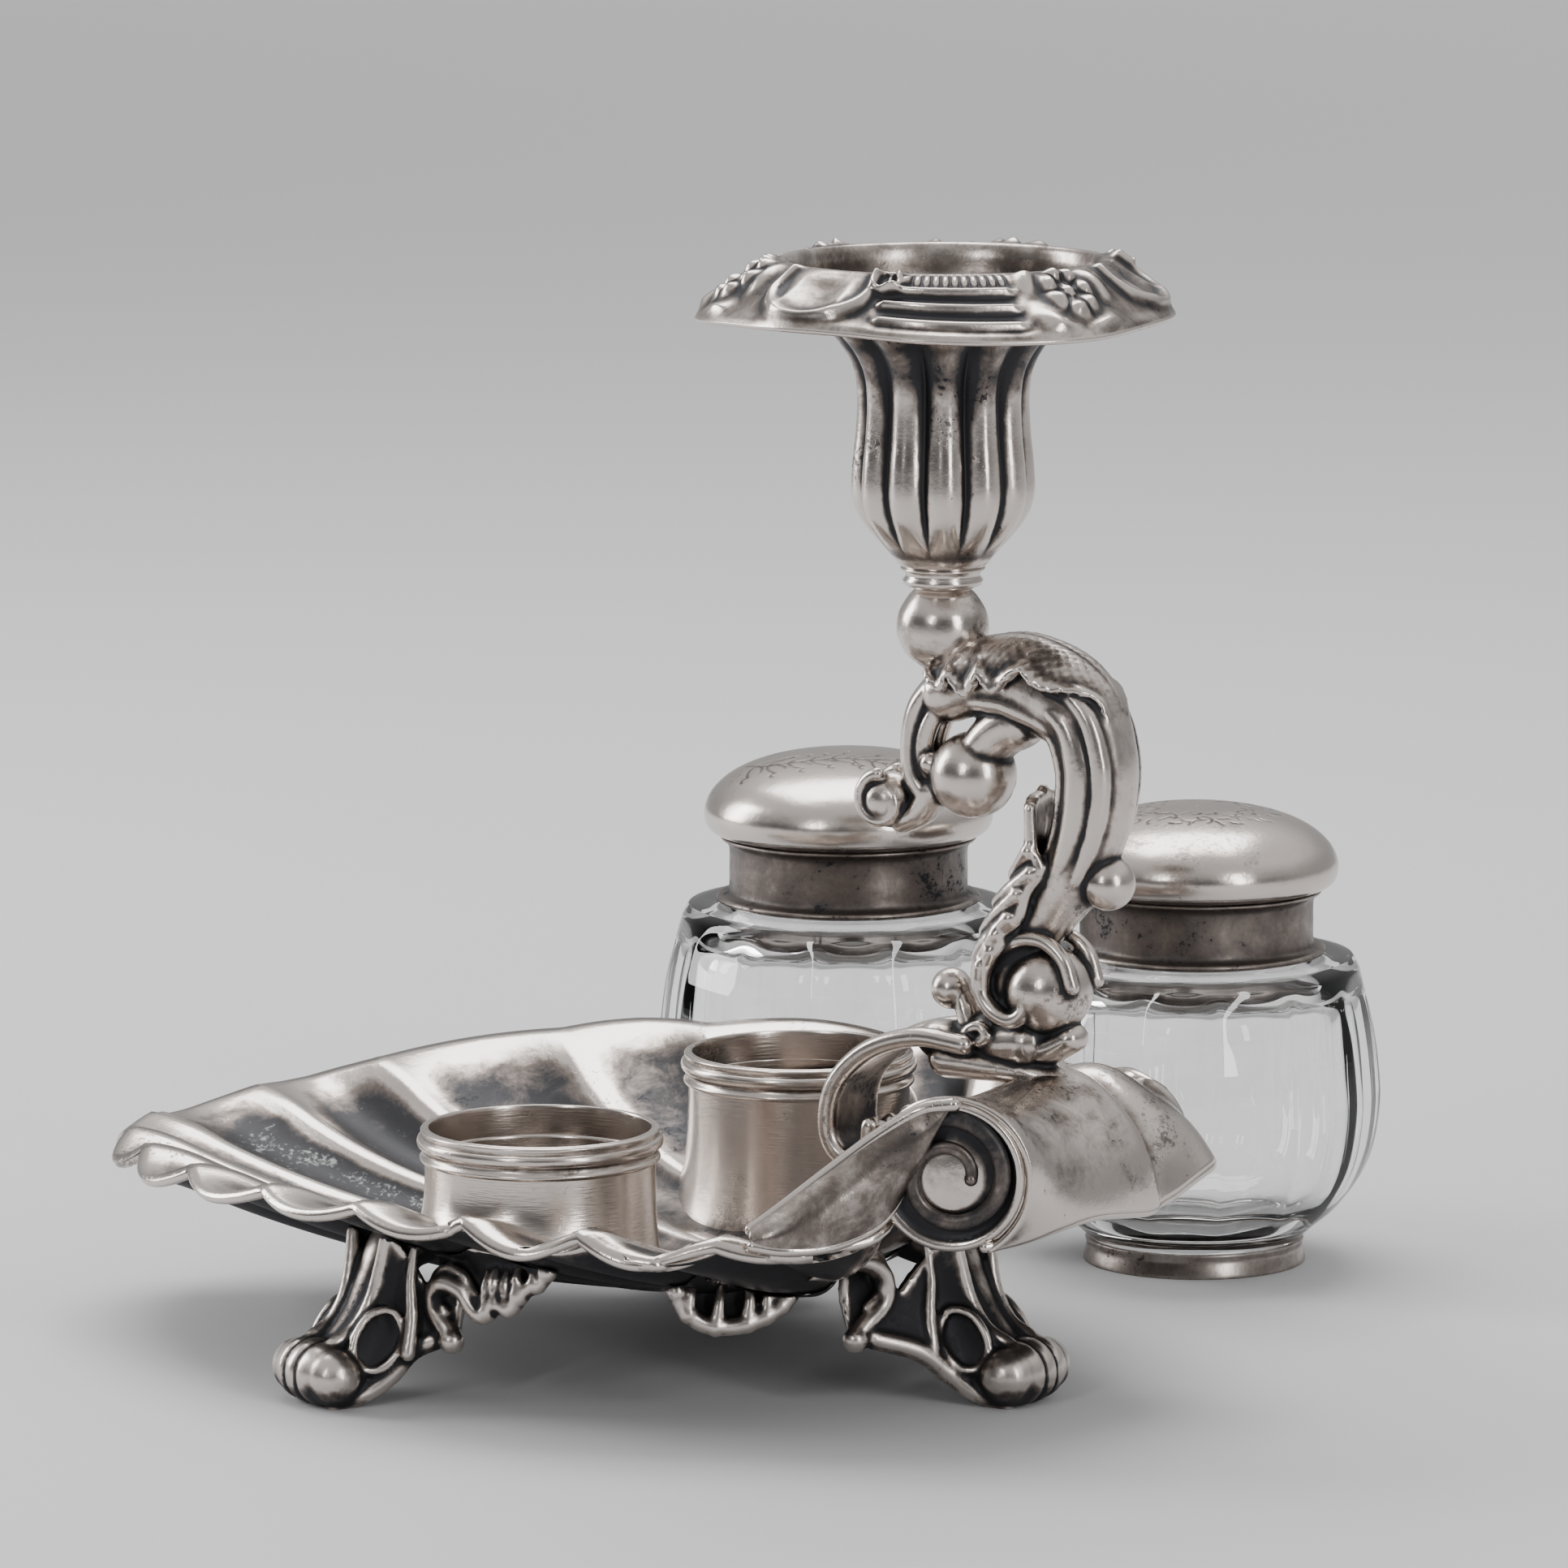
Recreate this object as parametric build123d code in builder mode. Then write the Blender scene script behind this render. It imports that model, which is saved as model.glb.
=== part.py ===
from build123d import *
import os
from math import cos, radians, sin

# A silver desk stand with two lidded glass ink jars.  The stand is a fluted shell
# tray on three cast feet, with two ring holders for the jars and a scroll handle
# that carries a candle cup.  At rest the jars stand on the surface behind it.
# Millimetres, +Z up.  +X runs along the shell from its tip to its hinge.

os.makedirs("parts", exist_ok=True)

# ---- driving dimensions ----
sheet = 1.2                  # silver sheet of the tray
tip_reach = 94.0             # tray tip, from the stand's centre
hood_reach = 83.0            # lip of the rolled hood, from the stand's centre
tray_half_width = 61.0
tray_under = 12.0            # lowest point of the tray above the surface
tip_sharpness = 0.2          # how much the outline narrows toward the tip

ring_spacing = 72.0          # between the two ring holders
ring_bore_radius = 16.3
ring_top = 41.0
band_height = 5.0
ring_sheet = 0.7

foot_circle = 61.5           # radius of the circle through the three toes
toe_radius = 4.9
wing_radius = 46.5           # the leaf wings follow this circle under the tray

hood_half_width = 27.0
volute_radius = 10.4
volute_x = 65.5
volute_z = 39.3
volute_thick = 3.2
volute_bite = 1.0            # depth of each volute's seat in the hood
volute_rim = 1.6             # width of the raised rim on its face
volute_relief = 0.9

candle_x = 47.0              # the candle axis, from the stand's centre
handle_top = 107.6
ball_radius = 6.75
ball_top = 120.0
collar_top = 122.9
cup_rim = 160.5
pan_radius = 35.2
pan_top = 168.2
candle_bore_radius = 9.6
stud_radius = 1.6

right_jar_spot = (30.9, 104.5)     # from the stand's centre
left_jar_spot = (-34.0, 105.9)
left_jar_scale = 1.044             # the two jars differ slightly, as hand work does
jar_radius = 29.2
jar_foot_radius = 16.0
jar_foot_height = 3.6
shoulder_top = 49.0
neck_radius = 16.6
neck_top = 53.6
collar_radius = 18.4
collar_sheet = 0.7
mouth_top = 59.4             # top of the collar, where the lid rests
collar_flange = 0.9          # how far the collar's foot stands out
foot_ring_bore = 12.6
lid_seat_radius = 19.6       # outer edge of the lid's flat rim
lid_radius = 22.2
lid_top = 72.2
lid_sheet = 0.8
bezel_drop = 5.2
fit_gap = 0.1                # running fit of a lid or a nozzle in its seat

# The set's origin is the middle of its footprint, on the surface.
jar_far_side = left_jar_spot[1] + jar_radius * left_jar_scale
stand_x = (tip_reach - hood_reach) / 2
stand_y = (tray_half_width - jar_far_side) / 2

# ---- planes of the stand ----
stand_floor = Plane((stand_x, stand_y, 0))
stand_side = Plane((stand_x, stand_y, 0), x_dir=(1, 0, 0), z_dir=(0, -1, 0))
candle_axis = Axis((stand_x + candle_x, stand_y, 0), (0, 0, 1))
candle_side = Plane((stand_x + candle_x, stand_y, 0), x_dir=(1, 0, 0), z_dir=(0, -1, 0))
rim_slope = (0.06, 0.083)    # rise of the rim toward the hinge and toward the back
rim_height = 37.5            # rim above the stand's centre
rim_plane = Plane((stand_x, stand_y, rim_height), z_dir=(-rim_slope[0], -rim_slope[1], 1))


def shell_outline(tip, hinge, half_width, steps=16):
    """Points of an egg-shaped outline that narrows toward the tip, on the tip's side."""
    points = []
    for step in range(steps):
        turn = radians(360 * step / steps)
        along = cos(turn)
        reach = hinge if along > 0 else tip
        taper = 1 if along > 0 else 1 - tip_sharpness * along**2
        points.append((reach * along, half_width * sin(turn) * taper))
    return points


# ---- the dish: its underside and its hollow, both taller than the rim ----
# height, reach to the tip, reach to the hinge, half width
dish_levels = (
    (tray_under, 36, 30, 22),
    (tray_under + 3, 58, 42, 40),
    (tray_under + 8, 76, 50, 52),
    (tray_under + 16, tip_reach - 3, 56, tray_half_width - 2.5),
    (tray_under + 32, tip_reach + 1, 62, tray_half_width + 0.5),
)

with BuildPart() as dish_outside:
    for level, tip, hinge, half_width in dish_levels:
        with BuildSketch(stand_floor.offset(level)):
            with BuildLine():
                Spline(*shell_outline(tip, hinge, half_width), periodic=True)
            make_face()
    loft()

with BuildPart() as dish_hollow:
    for level, tip, hinge, half_width in dish_levels:
        with BuildSketch(stand_floor.offset(level + sheet)):
            with BuildLine():
                Spline(*shell_outline(tip - sheet, hinge - sheet, half_width - sheet), periodic=True)
            make_face()
    loft()

# ---- shell tray with its rolled hood and two volutes, one sheet ----
hood_thick = 1.6
hood_crest = ((54, 33), (62, 47.6), (72, 45.5))      # arc over the crest, along X and up
hood_lip = (hood_reach - hood_thick, 32.5)

with BuildPart() as shell_tray:
    add(dish_outside.part)
    add(dish_hollow.part, mode=Mode.SUBTRACT)
    split(bisect_by=rim_plane, keep=Keep.BOTTOM)
    with BuildSketch(stand_side):
        with BuildLine():
            crest = ThreePointArc(*hood_crest)
            TangentArc(hood_crest[-1], hood_lip, tangent=crest % 1)
            offset(amount=hood_thick, side=Side.LEFT)
        make_face()
    extrude(amount=hood_half_width, both=True)
    for side in (-1, 1):
        face_y = stand_y + side * (hood_half_width - volute_bite)
        volute_face = Plane((stand_x + volute_x, face_y, volute_z), z_dir=(0, side, 0))
        with BuildSketch(volute_face):
            Circle(volute_radius)
        extrude(amount=volute_thick)
        with BuildSketch(volute_face.offset(volute_thick)):
            Circle(volute_radius)
            Circle(volute_radius - volute_rim, mode=Mode.SUBTRACT)
            Circle(volute_radius * 0.4)
        extrude(amount=volute_relief)
shell_tray.part.label = "shell_tray"
export_step(shell_tray.part, "parts/shell_tray.step")

# ---- three cast feet: an S leg on a rolled toe, with a leaf wing to each side ----
leg_half_thick = 4.0
toe_half_width = 5.6
wing_thick = 2.6
wing_bottom = 12.5
wing_spread = 44             # degrees to each side
wing_height = 16.0
arch_turn = 20               # degrees from the leg to the middle of each arch
arch_radius = 5.2
reach = 100.0                # past everything, for cutting a sector

for foot_name, foot_turn in (("hinge_foot", 0), ("far_foot", 120), ("near_foot", 240)):
    out_x = cos(radians(foot_turn))
    out_y = sin(radians(foot_turn))
    foot_side = Plane((stand_x, stand_y, 0), x_dir=(out_x, out_y, 0), z_dir=(out_y, -out_x, 0))
    with BuildPart() as foot:
        with BuildSketch(foot_side):
            with BuildLine():
                Spline((51.5, 33), (52.5, 20), (56, 12), (60.5, 2 * toe_radius))
                Line((60.5, 2 * toe_radius), (foot_circle, 0))
                Spline((foot_circle, 0), (54.5, 3), (48, 9), (44.5, 16), (42, 33))
                Line((42, 33), (51.5, 33))
            make_face()
        extrude(amount=leg_half_thick, both=True)
        with BuildSketch(foot_side):
            with Locations((foot_circle, toe_radius)):
                Circle(toe_radius)
        extrude(amount=toe_half_width, both=True)
        with BuildSketch(stand_floor.offset(wing_bottom)):
            Circle(wing_radius + wing_thick)
            Circle(wing_radius, mode=Mode.SUBTRACT)
            left = radians(foot_turn + wing_spread)
            right = radians(foot_turn - wing_spread)
            with BuildLine():
                Polyline(
                    (0, 0),
                    (reach * cos(left), reach * sin(left)),
                    (reach * out_x, reach * out_y),
                    (reach * cos(right), reach * sin(right)),
                    close=True,
                )
            make_face(mode=Mode.INTERSECT)
        extrude(amount=wing_height)
        for turn in (foot_turn - arch_turn, foot_turn + arch_turn):
            through = Plane(
                (stand_x, stand_y, wing_bottom - 2),
                x_dir=(-sin(radians(turn)), cos(radians(turn)), 0),
                z_dir=(cos(radians(turn)), sin(radians(turn)), 0),
            )
            with BuildSketch(through.offset(wing_radius - 4)):
                Circle(arch_radius)
            extrude(amount=5 * wing_thick, mode=Mode.SUBTRACT)
        add(dish_outside.part, mode=Mode.SUBTRACT)
    foot.part.label = foot_name
    export_step(foot.part, f"parts/{foot_name}.step")

# ---- two ring holders: a spool wall cut to the dish, and a moulded band on top ----
wall_top = ring_top - band_height

for ring_name, ring_y in (("near_ring", -ring_spacing / 2), ("far_ring", ring_spacing / 2)):
    ring_centre = (stand_x, stand_y + ring_y, 0)
    ring_side = Plane(ring_centre, x_dir=(1, 0, 0), z_dir=(0, -1, 0))
    ring_axis = Axis(ring_centre, (0, 0, 1))
    outer = ring_bore_radius + ring_sheet
    with BuildPart() as ring_wall:
        with BuildSketch(ring_side):
            with BuildLine():
                Polyline(
                    (ring_bore_radius, wall_top),
                    (outer, wall_top),
                    (outer, 26),
                    (outer + 0.7, 20),
                    (outer + 2.2, 13.4),
                    (ring_bore_radius + 2.2, 13.4),
                    (ring_bore_radius + 0.7, 20),
                    (ring_bore_radius, 26),
                    close=True,
                )
            make_face()
        revolve(axis=ring_axis)
        add(dish_hollow.part, mode=Mode.INTERSECT)
    ring_wall.part.label = f"{ring_name}_wall"
    export_step(ring_wall.part, f"parts/{ring_name}_wall.step")

    with BuildPart() as ring_band:
        with BuildSketch(ring_side):
            with BuildLine():
                Polyline(
                    (ring_bore_radius, wall_top),
                    (outer + 0.2, wall_top),
                    (outer + 0.9, wall_top + 1.3),
                    (outer + 0.2, wall_top + 2.6),
                    (outer + 0.3, wall_top + 3.4),
                    (outer + 0.3, ring_top),
                    (ring_bore_radius, ring_top),
                    close=True,
                )
            make_face()
        revolve(axis=ring_axis)
    ring_band.part.label = f"{ring_name}_band"
    export_step(ring_band.part, f"parts/{ring_name}_band.step")

# ---- ball knop, drilled for the stud ----
ball_seat = 0.4              # how far the ball is cut flat where it sits on the handle

with BuildPart() as knop_ball:
    with BuildSketch(candle_side):
        with Locations((0, handle_top + ball_radius - ball_seat)):
            Circle(ball_radius)
        with Locations((stud_radius, handle_top)):
            Rectangle(ball_radius, ball_top - handle_top, align=(Align.MIN, Align.MIN), mode=Mode.INTERSECT)
    revolve(axis=candle_axis)
knop_ball.part.label = "knop_ball"
export_step(knop_ball.part, "parts/knop_ball.step")

# ---- scroll handle: round-sectioned scrolls in the stand's middle plane ----
stem_radius = 5.2
strap_radius = 2.6
loop_radius = 3.4
foot_of_stem = (58, 54)
upper_ball = (53, 92.4)      # the big ball scroll under the crook
lower_ball = (65, 62.7)
stud_depth = 6.0

with BuildPart() as hood_core:
    with BuildSketch(stand_side):
        with BuildLine():
            over = ThreePointArc(*hood_crest)
            Line(hood_crest[-1], (hood_crest[-1][0], hood_crest[0][1]))
            Line((hood_crest[-1][0], hood_crest[0][1]), hood_crest[0])
        make_face()
        offset(amount=hood_thick)
    extrude(amount=hood_half_width, both=True)

with BuildPart() as scroll_handle:
    with BuildLine(stand_side) as stem_line:
        crook = ThreePointArc((49, 102), (63, 106.5), (73, 93))
        back = TangentArc((73, 93), (66, 77.5), tangent=crook % 1)
        TangentArc((66, 77.5), foot_of_stem, tangent=back % 1)
    with BuildSketch(Plane(stem_line.line @ 0, z_dir=stem_line.line % 0)):
        Circle(stem_radius)
    sweep(path=stem_line.line)
    with BuildLine(stand_side) as loop_line:
        climb = ThreePointArc((33, 38), (35, 48), (45, 52.5))
        TangentArc((45, 52.5), foot_of_stem, tangent=climb % 1)
    with BuildSketch(Plane(loop_line.line @ 0, z_dir=loop_line.line % 0)):
        Circle(loop_radius)
    sweep(path=loop_line.line)
    with BuildLine(stand_side) as strap_line:
        ThreePointArc((47, 101), (42.5, 96), (47, 90))
    with BuildSketch(Plane(strap_line.line @ 0, z_dir=strap_line.line % 0)):
        Circle(strap_radius)
    sweep(path=strap_line.line)
    ball_spots = (
        (49, 102, stem_radius),
        (*upper_ball, 6.0),
        (43.5, 88.5, 3.6),
        (*lower_ball, 6.6),
        (74.5, 78.7, 3.4),
        (50.5, 60.8, 3.2),
        (*foot_of_stem, stem_radius),
        (33, 38, 4.2),
    )
    for along, up, radius in ball_spots:
        with Locations((stand_x + along, stand_y, up)):
            Sphere(radius)
    with BuildSketch(stand_side):
        with BuildLine():
            Polyline((68, 50), (50, 61.5), (46, 50), (56, 44), close=True)
        make_face()
    extrude(amount=2.4, both=True)
    with BuildSketch(Plane((stand_x + candle_x, stand_y, handle_top - 8))):
        Circle(4.8)
    extrude(amount=8)
    add(hood_core.part, mode=Mode.SUBTRACT)
    add(knop_ball.part, mode=Mode.SUBTRACT)
    with Locations((stand_x + candle_x, stand_y, handle_top)):
        Hole(stud_radius, depth=stud_depth)
scroll_handle.part.label = "scroll_handle"
export_step(scroll_handle.part, "parts/scroll_handle.step")

# ---- reeded collar between the ball and the cup ----
with BuildPart() as knop_collar:
    with BuildSketch(candle_side):
        with BuildLine():
            Polyline(
                (stud_radius, ball_top),
                (5.2, ball_top),
                (5.9, ball_top + 0.9),
                (5.2, ball_top + 1.7),
                (5.6, collar_top),
                (stud_radius, collar_top),
                close=True,
            )
        make_face()
    revolve(axis=candle_axis)
knop_collar.part.label = "knop_collar"
export_step(knop_collar.part, "parts/knop_collar.step")

# ---- tulip candle cup ----
cup_sheet = 0.9
cup_rim_radius = 18.8
cup_floor = collar_top + 1.2

with BuildPart() as candle_cup:
    with BuildSketch(candle_side):
        with BuildLine():
            Polyline((stud_radius, cup_floor), (stud_radius, collar_top), (6.0, collar_top))
            Spline(
                (6.0, collar_top),
                (10.8, 126.8),
                (12.4, 132.3),
                (11.9, 140.0),
                (12.1, 147.0),
                (14.4, 154.4),
                (cup_rim_radius, cup_rim),
            )
            Line((cup_rim_radius, cup_rim), (cup_rim_radius - 1.4, cup_rim))
            Spline(
                (cup_rim_radius - 1.4, cup_rim),
                (14.4 - cup_sheet, 154.8),
                (12.1 - cup_sheet, 147.2),
                (11.9 - cup_sheet, 140.0),
                (12.4 - cup_sheet, 132.6),
                (9.8, 127.6),
                (5.4, cup_floor),
            )
            Line((5.4, cup_floor), (stud_radius, cup_floor))
        make_face()
    revolve(axis=candle_axis)
candle_cup.part.label = "candle_cup"
export_step(candle_cup.part, "parts/candle_cup.step")

# ---- stud and nut that hold the cup, collar and ball on the handle ----
nut_height = 2.4
stud_top = cup_floor + nut_height + 0.6

with BuildPart() as socket_stud:
    with BuildSketch(Plane((stand_x + candle_x, stand_y, handle_top - stud_depth))):
        Circle(stud_radius)
    extrude(amount=stud_top - handle_top + stud_depth)
    chamfer(socket_stud.edges().group_by(Axis.Z)[-1], 0.3)
socket_stud.part.label = "socket_stud"
export_step(socket_stud.part, "parts/socket_stud.step")

with BuildPart() as socket_nut:
    with BuildSketch(Plane((stand_x + candle_x, stand_y, cup_floor))):
        RegularPolygon(3.4, 6)
        Circle(stud_radius, mode=Mode.SUBTRACT)
    extrude(amount=nut_height)
socket_nut.part.label = "socket_nut"
export_step(socket_nut.part, "parts/socket_nut.step")

# ---- lift-out drip pan with its candle nozzle ----
pan_sheet = 1.0
nozzle_sheet = 0.8
nozzle_radius = candle_bore_radius + nozzle_sheet
nozzle_bottom = 134.5
well_floor = cup_rim + pan_sheet

with BuildPart() as drip_pan:
    with BuildSketch(candle_side):
        with BuildLine():
            Polyline(
                (nozzle_radius, cup_rim),
                (20.6, cup_rim),
                (23.2, pan_top - 1.4),
                (28.5, pan_top - 3.2),
                (pan_radius - 0.4, 157.8),
                (pan_radius, 158.6),
                (29.0, pan_top - 1.8),
                (23.6, pan_top),
                (22.2, pan_top - 0.3),
                (19.8, well_floor),
                (nozzle_radius, well_floor),
                close=True,
            )
        make_face()
    revolve(axis=candle_axis)
drip_pan.part.label = "drip_pan"
export_step(drip_pan.part, "parts/drip_pan.step")

with BuildPart() as nozzle_tube:
    with BuildSketch(Plane((stand_x + candle_x, stand_y, nozzle_bottom))):
        Circle(nozzle_radius)
    extrude(amount=well_floor - nozzle_bottom)
    with Locations((stand_x + candle_x, stand_y, well_floor)):
        Hole(candle_bore_radius, depth=well_floor - nozzle_bottom - nozzle_sheet)
nozzle_tube.part.label = "nozzle_tube"
export_step(nozzle_tube.part, "parts/nozzle_tube.step")

# ---- two glass jars, each with a foot ring, a cemented collar and a lift-off lid ----
glass_floor = 11.5           # inside of the thick glass base
lid_inside = mouth_top + lid_sheet
lid_inside_edge = lid_seat_radius - 0.2
neck_inside = neck_radius - 3.2
collar_inside = collar_radius - collar_sheet
bezel_outside = collar_inside - fit_gap

for jar_name, jar_spot, k in (
    ("left_jar", left_jar_spot, left_jar_scale),
    ("right_jar", right_jar_spot, 1.0),
):
    jar_centre = (stand_x + jar_spot[0], stand_y + jar_spot[1], 0)
    jar_side = Plane(jar_centre, x_dir=(1, 0, 0), z_dir=(0, -1, 0))
    jar_axis = Axis(jar_centre, (0, 0, 1))

    with BuildPart() as jar_foot_ring:
        with BuildSketch(jar_side):
            with BuildLine():
                Polyline(
                    (foot_ring_bore * k, 0),
                    (jar_foot_radius * k, 0),
                    (jar_foot_radius * k, jar_foot_height * k),
                    (foot_ring_bore * k, jar_foot_height * k),
                    close=True,
                )
            make_face()
        revolve(axis=jar_axis)
    jar_foot_ring.part.label = f"{jar_name}_foot_ring"
    export_step(jar_foot_ring.part, f"parts/{jar_name}_foot_ring.step")

    with BuildPart() as jar_glass:
        with BuildSketch(jar_side):
            with BuildLine():
                Line((0, jar_foot_height * k), (15.6 * k, jar_foot_height * k))
                Spline(
                    (15.6 * k, jar_foot_height * k),
                    (22.6 * k, 9.2 * k),
                    (28.0 * k, 18.0 * k),
                    (jar_radius * k, 27.0 * k),
                    (28.2 * k, 38.0 * k),
                    (25.6 * k, 47.4 * k),
                )
                Polyline(
                    (25.6 * k, 47.4 * k),
                    (24.0 * k, shoulder_top * k),
                    (neck_radius * k, shoulder_top * k),
                    (neck_radius * k, neck_top * k),
                    (neck_inside * k, neck_top * k),
                    (neck_inside * k, 46.0 * k),
                )
                Spline(
                    (neck_inside * k, 46.0 * k),
                    (19.5 * k, 41.5 * k),
                    (23.2 * k, 27.0 * k),
                    (19.5 * k, 15.0 * k),
                    (13.0 * k, glass_floor * k),
                )
                Polyline((13.0 * k, glass_floor * k), (0, glass_floor * k), (0, jar_foot_height * k))
            make_face()
        revolve(axis=jar_axis)
    jar_glass.part.label = f"{jar_name}_glass"
    export_step(jar_glass.part, f"parts/{jar_name}_glass.step")

    with BuildPart() as jar_plaster:
        with BuildSketch(jar_side):
            with BuildLine():
                Polyline(
                    (neck_radius * k, shoulder_top * k),
                    (collar_inside * k, shoulder_top * k),
                    (collar_inside * k, neck_top * k),
                    (neck_radius * k, neck_top * k),
                    close=True,
                )
            make_face()
        revolve(axis=jar_axis)
    jar_plaster.part.label = f"{jar_name}_plaster"
    export_step(jar_plaster.part, f"parts/{jar_name}_plaster.step")

    with BuildPart() as jar_collar:
        with BuildSketch(jar_side):
            with BuildLine():
                Polyline(
                    (collar_inside * k, shoulder_top * k),
                    ((collar_radius + collar_flange) * k, shoulder_top * k),
                    ((collar_radius + collar_flange) * k, (shoulder_top + 0.8) * k),
                    (collar_radius * k, (shoulder_top + 1.6) * k),
                    (collar_radius * k, mouth_top * k),
                    (collar_inside * k, mouth_top * k),
                    close=True,
                )
            make_face()
        revolve(axis=jar_axis)
    jar_collar.part.label = f"{jar_name}_collar"
    export_step(jar_collar.part, f"parts/{jar_name}_collar.step")

    with BuildPart() as lid_bezel:
        with BuildSketch(jar_side):
            with BuildLine():
                Polyline(
                    ((bezel_outside - collar_sheet) * k, (mouth_top - bezel_drop) * k),
                    (bezel_outside * k, (mouth_top - bezel_drop) * k),
                    (bezel_outside * k, lid_inside * k),
                    ((bezel_outside - collar_sheet) * k, lid_inside * k),
                    close=True,
                )
            make_face()
        revolve(axis=jar_axis)
    lid_bezel.part.label = f"{jar_name}_lid_bezel"
    export_step(lid_bezel.part, f"parts/{jar_name}_lid_bezel.step")

    with BuildPart() as lid_dome:
        with BuildSketch(jar_side):
            with BuildLine():
                Polyline(
                    (bezel_outside * k, lid_inside * k),
                    (bezel_outside * k, mouth_top * k),
                    (lid_seat_radius * k, mouth_top * k),
                )
                Spline(
                    (lid_seat_radius * k, mouth_top * k),
                    (lid_radius * k, 62.8 * k),
                    (19.0 * k, 67.6 * k),
                    (10.0 * k, 71.2 * k),
                    (0, lid_top * k),
                )
                Line((0, lid_top * k), (0, (lid_top - lid_sheet) * k))
                Spline(
                    (0, (lid_top - lid_sheet) * k),
                    (9.8 * k, (71.2 - lid_sheet) * k),
                    (18.4 * k, 67.0 * k),
                    ((lid_radius - lid_sheet) * k, 62.8 * k),
                    (lid_inside_edge * k, lid_inside * k),
                )
                Line((lid_inside_edge * k, lid_inside * k), (bezel_outside * k, lid_inside * k))
            make_face()
        revolve(axis=jar_axis)
    lid_dome.part.label = f"{jar_name}_lid_dome"
    export_step(lid_dome.part, f"parts/{jar_name}_lid_dome.step")
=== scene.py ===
"""A silver desk stand with a shell tray, a scroll handle under a candle cup, and two cut-glass ink jars."""

from math import cos, pi, radians, sin

import bmesh
import bpy
import numpy as np
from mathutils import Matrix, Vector
from mathutils.bvhtree import BVHTree


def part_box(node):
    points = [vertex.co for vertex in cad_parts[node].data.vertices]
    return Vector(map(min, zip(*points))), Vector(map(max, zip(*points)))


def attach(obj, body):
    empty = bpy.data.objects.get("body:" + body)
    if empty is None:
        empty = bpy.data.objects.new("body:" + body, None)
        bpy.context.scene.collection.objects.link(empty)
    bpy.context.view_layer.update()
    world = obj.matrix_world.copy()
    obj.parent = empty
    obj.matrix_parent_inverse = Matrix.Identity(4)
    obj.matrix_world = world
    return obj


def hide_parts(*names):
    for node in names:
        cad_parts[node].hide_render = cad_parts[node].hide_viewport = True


bl_info = {
    "name": "Inkstand",
    "version": (1, 0, 0),
    "blender": (4, 5, 0),
    "location": "View3D > Sidebar > Inkstand",
    "description": "Builds a silver desk stand and its two ink jars around their packed frame",
    "category": "Object",
}

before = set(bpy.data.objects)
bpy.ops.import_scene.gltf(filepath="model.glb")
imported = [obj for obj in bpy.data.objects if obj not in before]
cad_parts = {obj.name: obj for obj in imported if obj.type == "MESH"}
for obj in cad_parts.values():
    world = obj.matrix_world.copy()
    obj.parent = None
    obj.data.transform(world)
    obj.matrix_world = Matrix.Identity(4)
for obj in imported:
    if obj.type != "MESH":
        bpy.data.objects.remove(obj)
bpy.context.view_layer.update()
MM = 0.001
UP = (0, 0, 1)


# ---- places, read from the frame ----


def middle(node):
    """The middle of a CAD node's box, in millimetres."""
    low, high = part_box(node)
    return np.array((low + high) / 2) / MM


def span(node):
    """The lowest and highest corners of a CAD node's box, in millimetres."""
    low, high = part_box(node)
    return np.array(low) / MM, np.array(high) / MM


NEAR_RING = middle("near_ring_band")
FAR_RING = middle("far_ring_band")
STAND = (NEAR_RING + FAR_RING) / 2 * (1, 1, 0)
CANDLE = middle("nozzle_tube") - STAND
RING_TOP = span("near_ring_band")[1][2]
BALL_LOW, BALL_HIGH = span("knop_ball")
CUP_LOW, CUP_HIGH = span("candle_cup")
PAN_TOP = span("drip_pan")[1][2]
TIP = STAND[0] - span("shell_tray")[0][0]


# ---- numbers and curves ----


def smooth(values, low, high):
    """A soft step from 0 at low to 1 at high."""
    t = np.clip((np.asarray(values, float) - low) / (high - low), 0, 1)
    return t * t * (3 - 2 * t)


def bump(value, centre, width):
    """A soft hump around a value."""
    return np.exp(-(((value - centre) / width) ** 2))


def curve(points, count, closed=False):
    """Evenly numbered samples of a smooth curve through the points."""
    p = np.asarray(points, float)
    if closed:
        p = np.vstack((p[-1:], p, p[:2]))
    else:
        p = np.vstack((2 * p[0] - p[1], p, 2 * p[-1] - p[-2]))
    pieces = len(p) - 3
    at = np.linspace(0, pieces, count, endpoint=not closed)
    i = np.minimum(at.astype(int), pieces - 1)
    t = (at - i)[:, None]
    a, b, c, d = p[i], p[i + 1], p[i + 2], p[i + 3]
    return 0.5 * (2 * b + (c - a) * t + (2 * a - 5 * b + 4 * c - d) * t**2 + (3 * b - a - 3 * c + d) * t**3)


def turned(points, degrees_about_z):
    """The points turned about the vertical through the stand's centre."""
    c, s = cos(radians(degrees_about_z)), sin(radians(degrees_about_z))
    p = np.asarray(points, float)
    return np.stack((p[..., 0] * c - p[..., 1] * s, p[..., 0] * s + p[..., 1] * c, p[..., 2]), -1)


# ---- meshes ----


def mesh_object(name, points, faces, origin=STAND):
    """An object from points in millimetres about an origin."""
    mesh = bpy.data.meshes.new(name)
    places = (np.asarray(points, float).reshape(-1, 3) + origin) * MM
    mesh.from_pydata(places.tolist(), [], [tuple(int(i) for i in f) for f in faces])
    mesh.validate()
    thing = bpy.data.objects.new(name, mesh)
    bpy.context.scene.collection.objects.link(thing)
    mesh.shade_smooth()
    return thing


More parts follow.
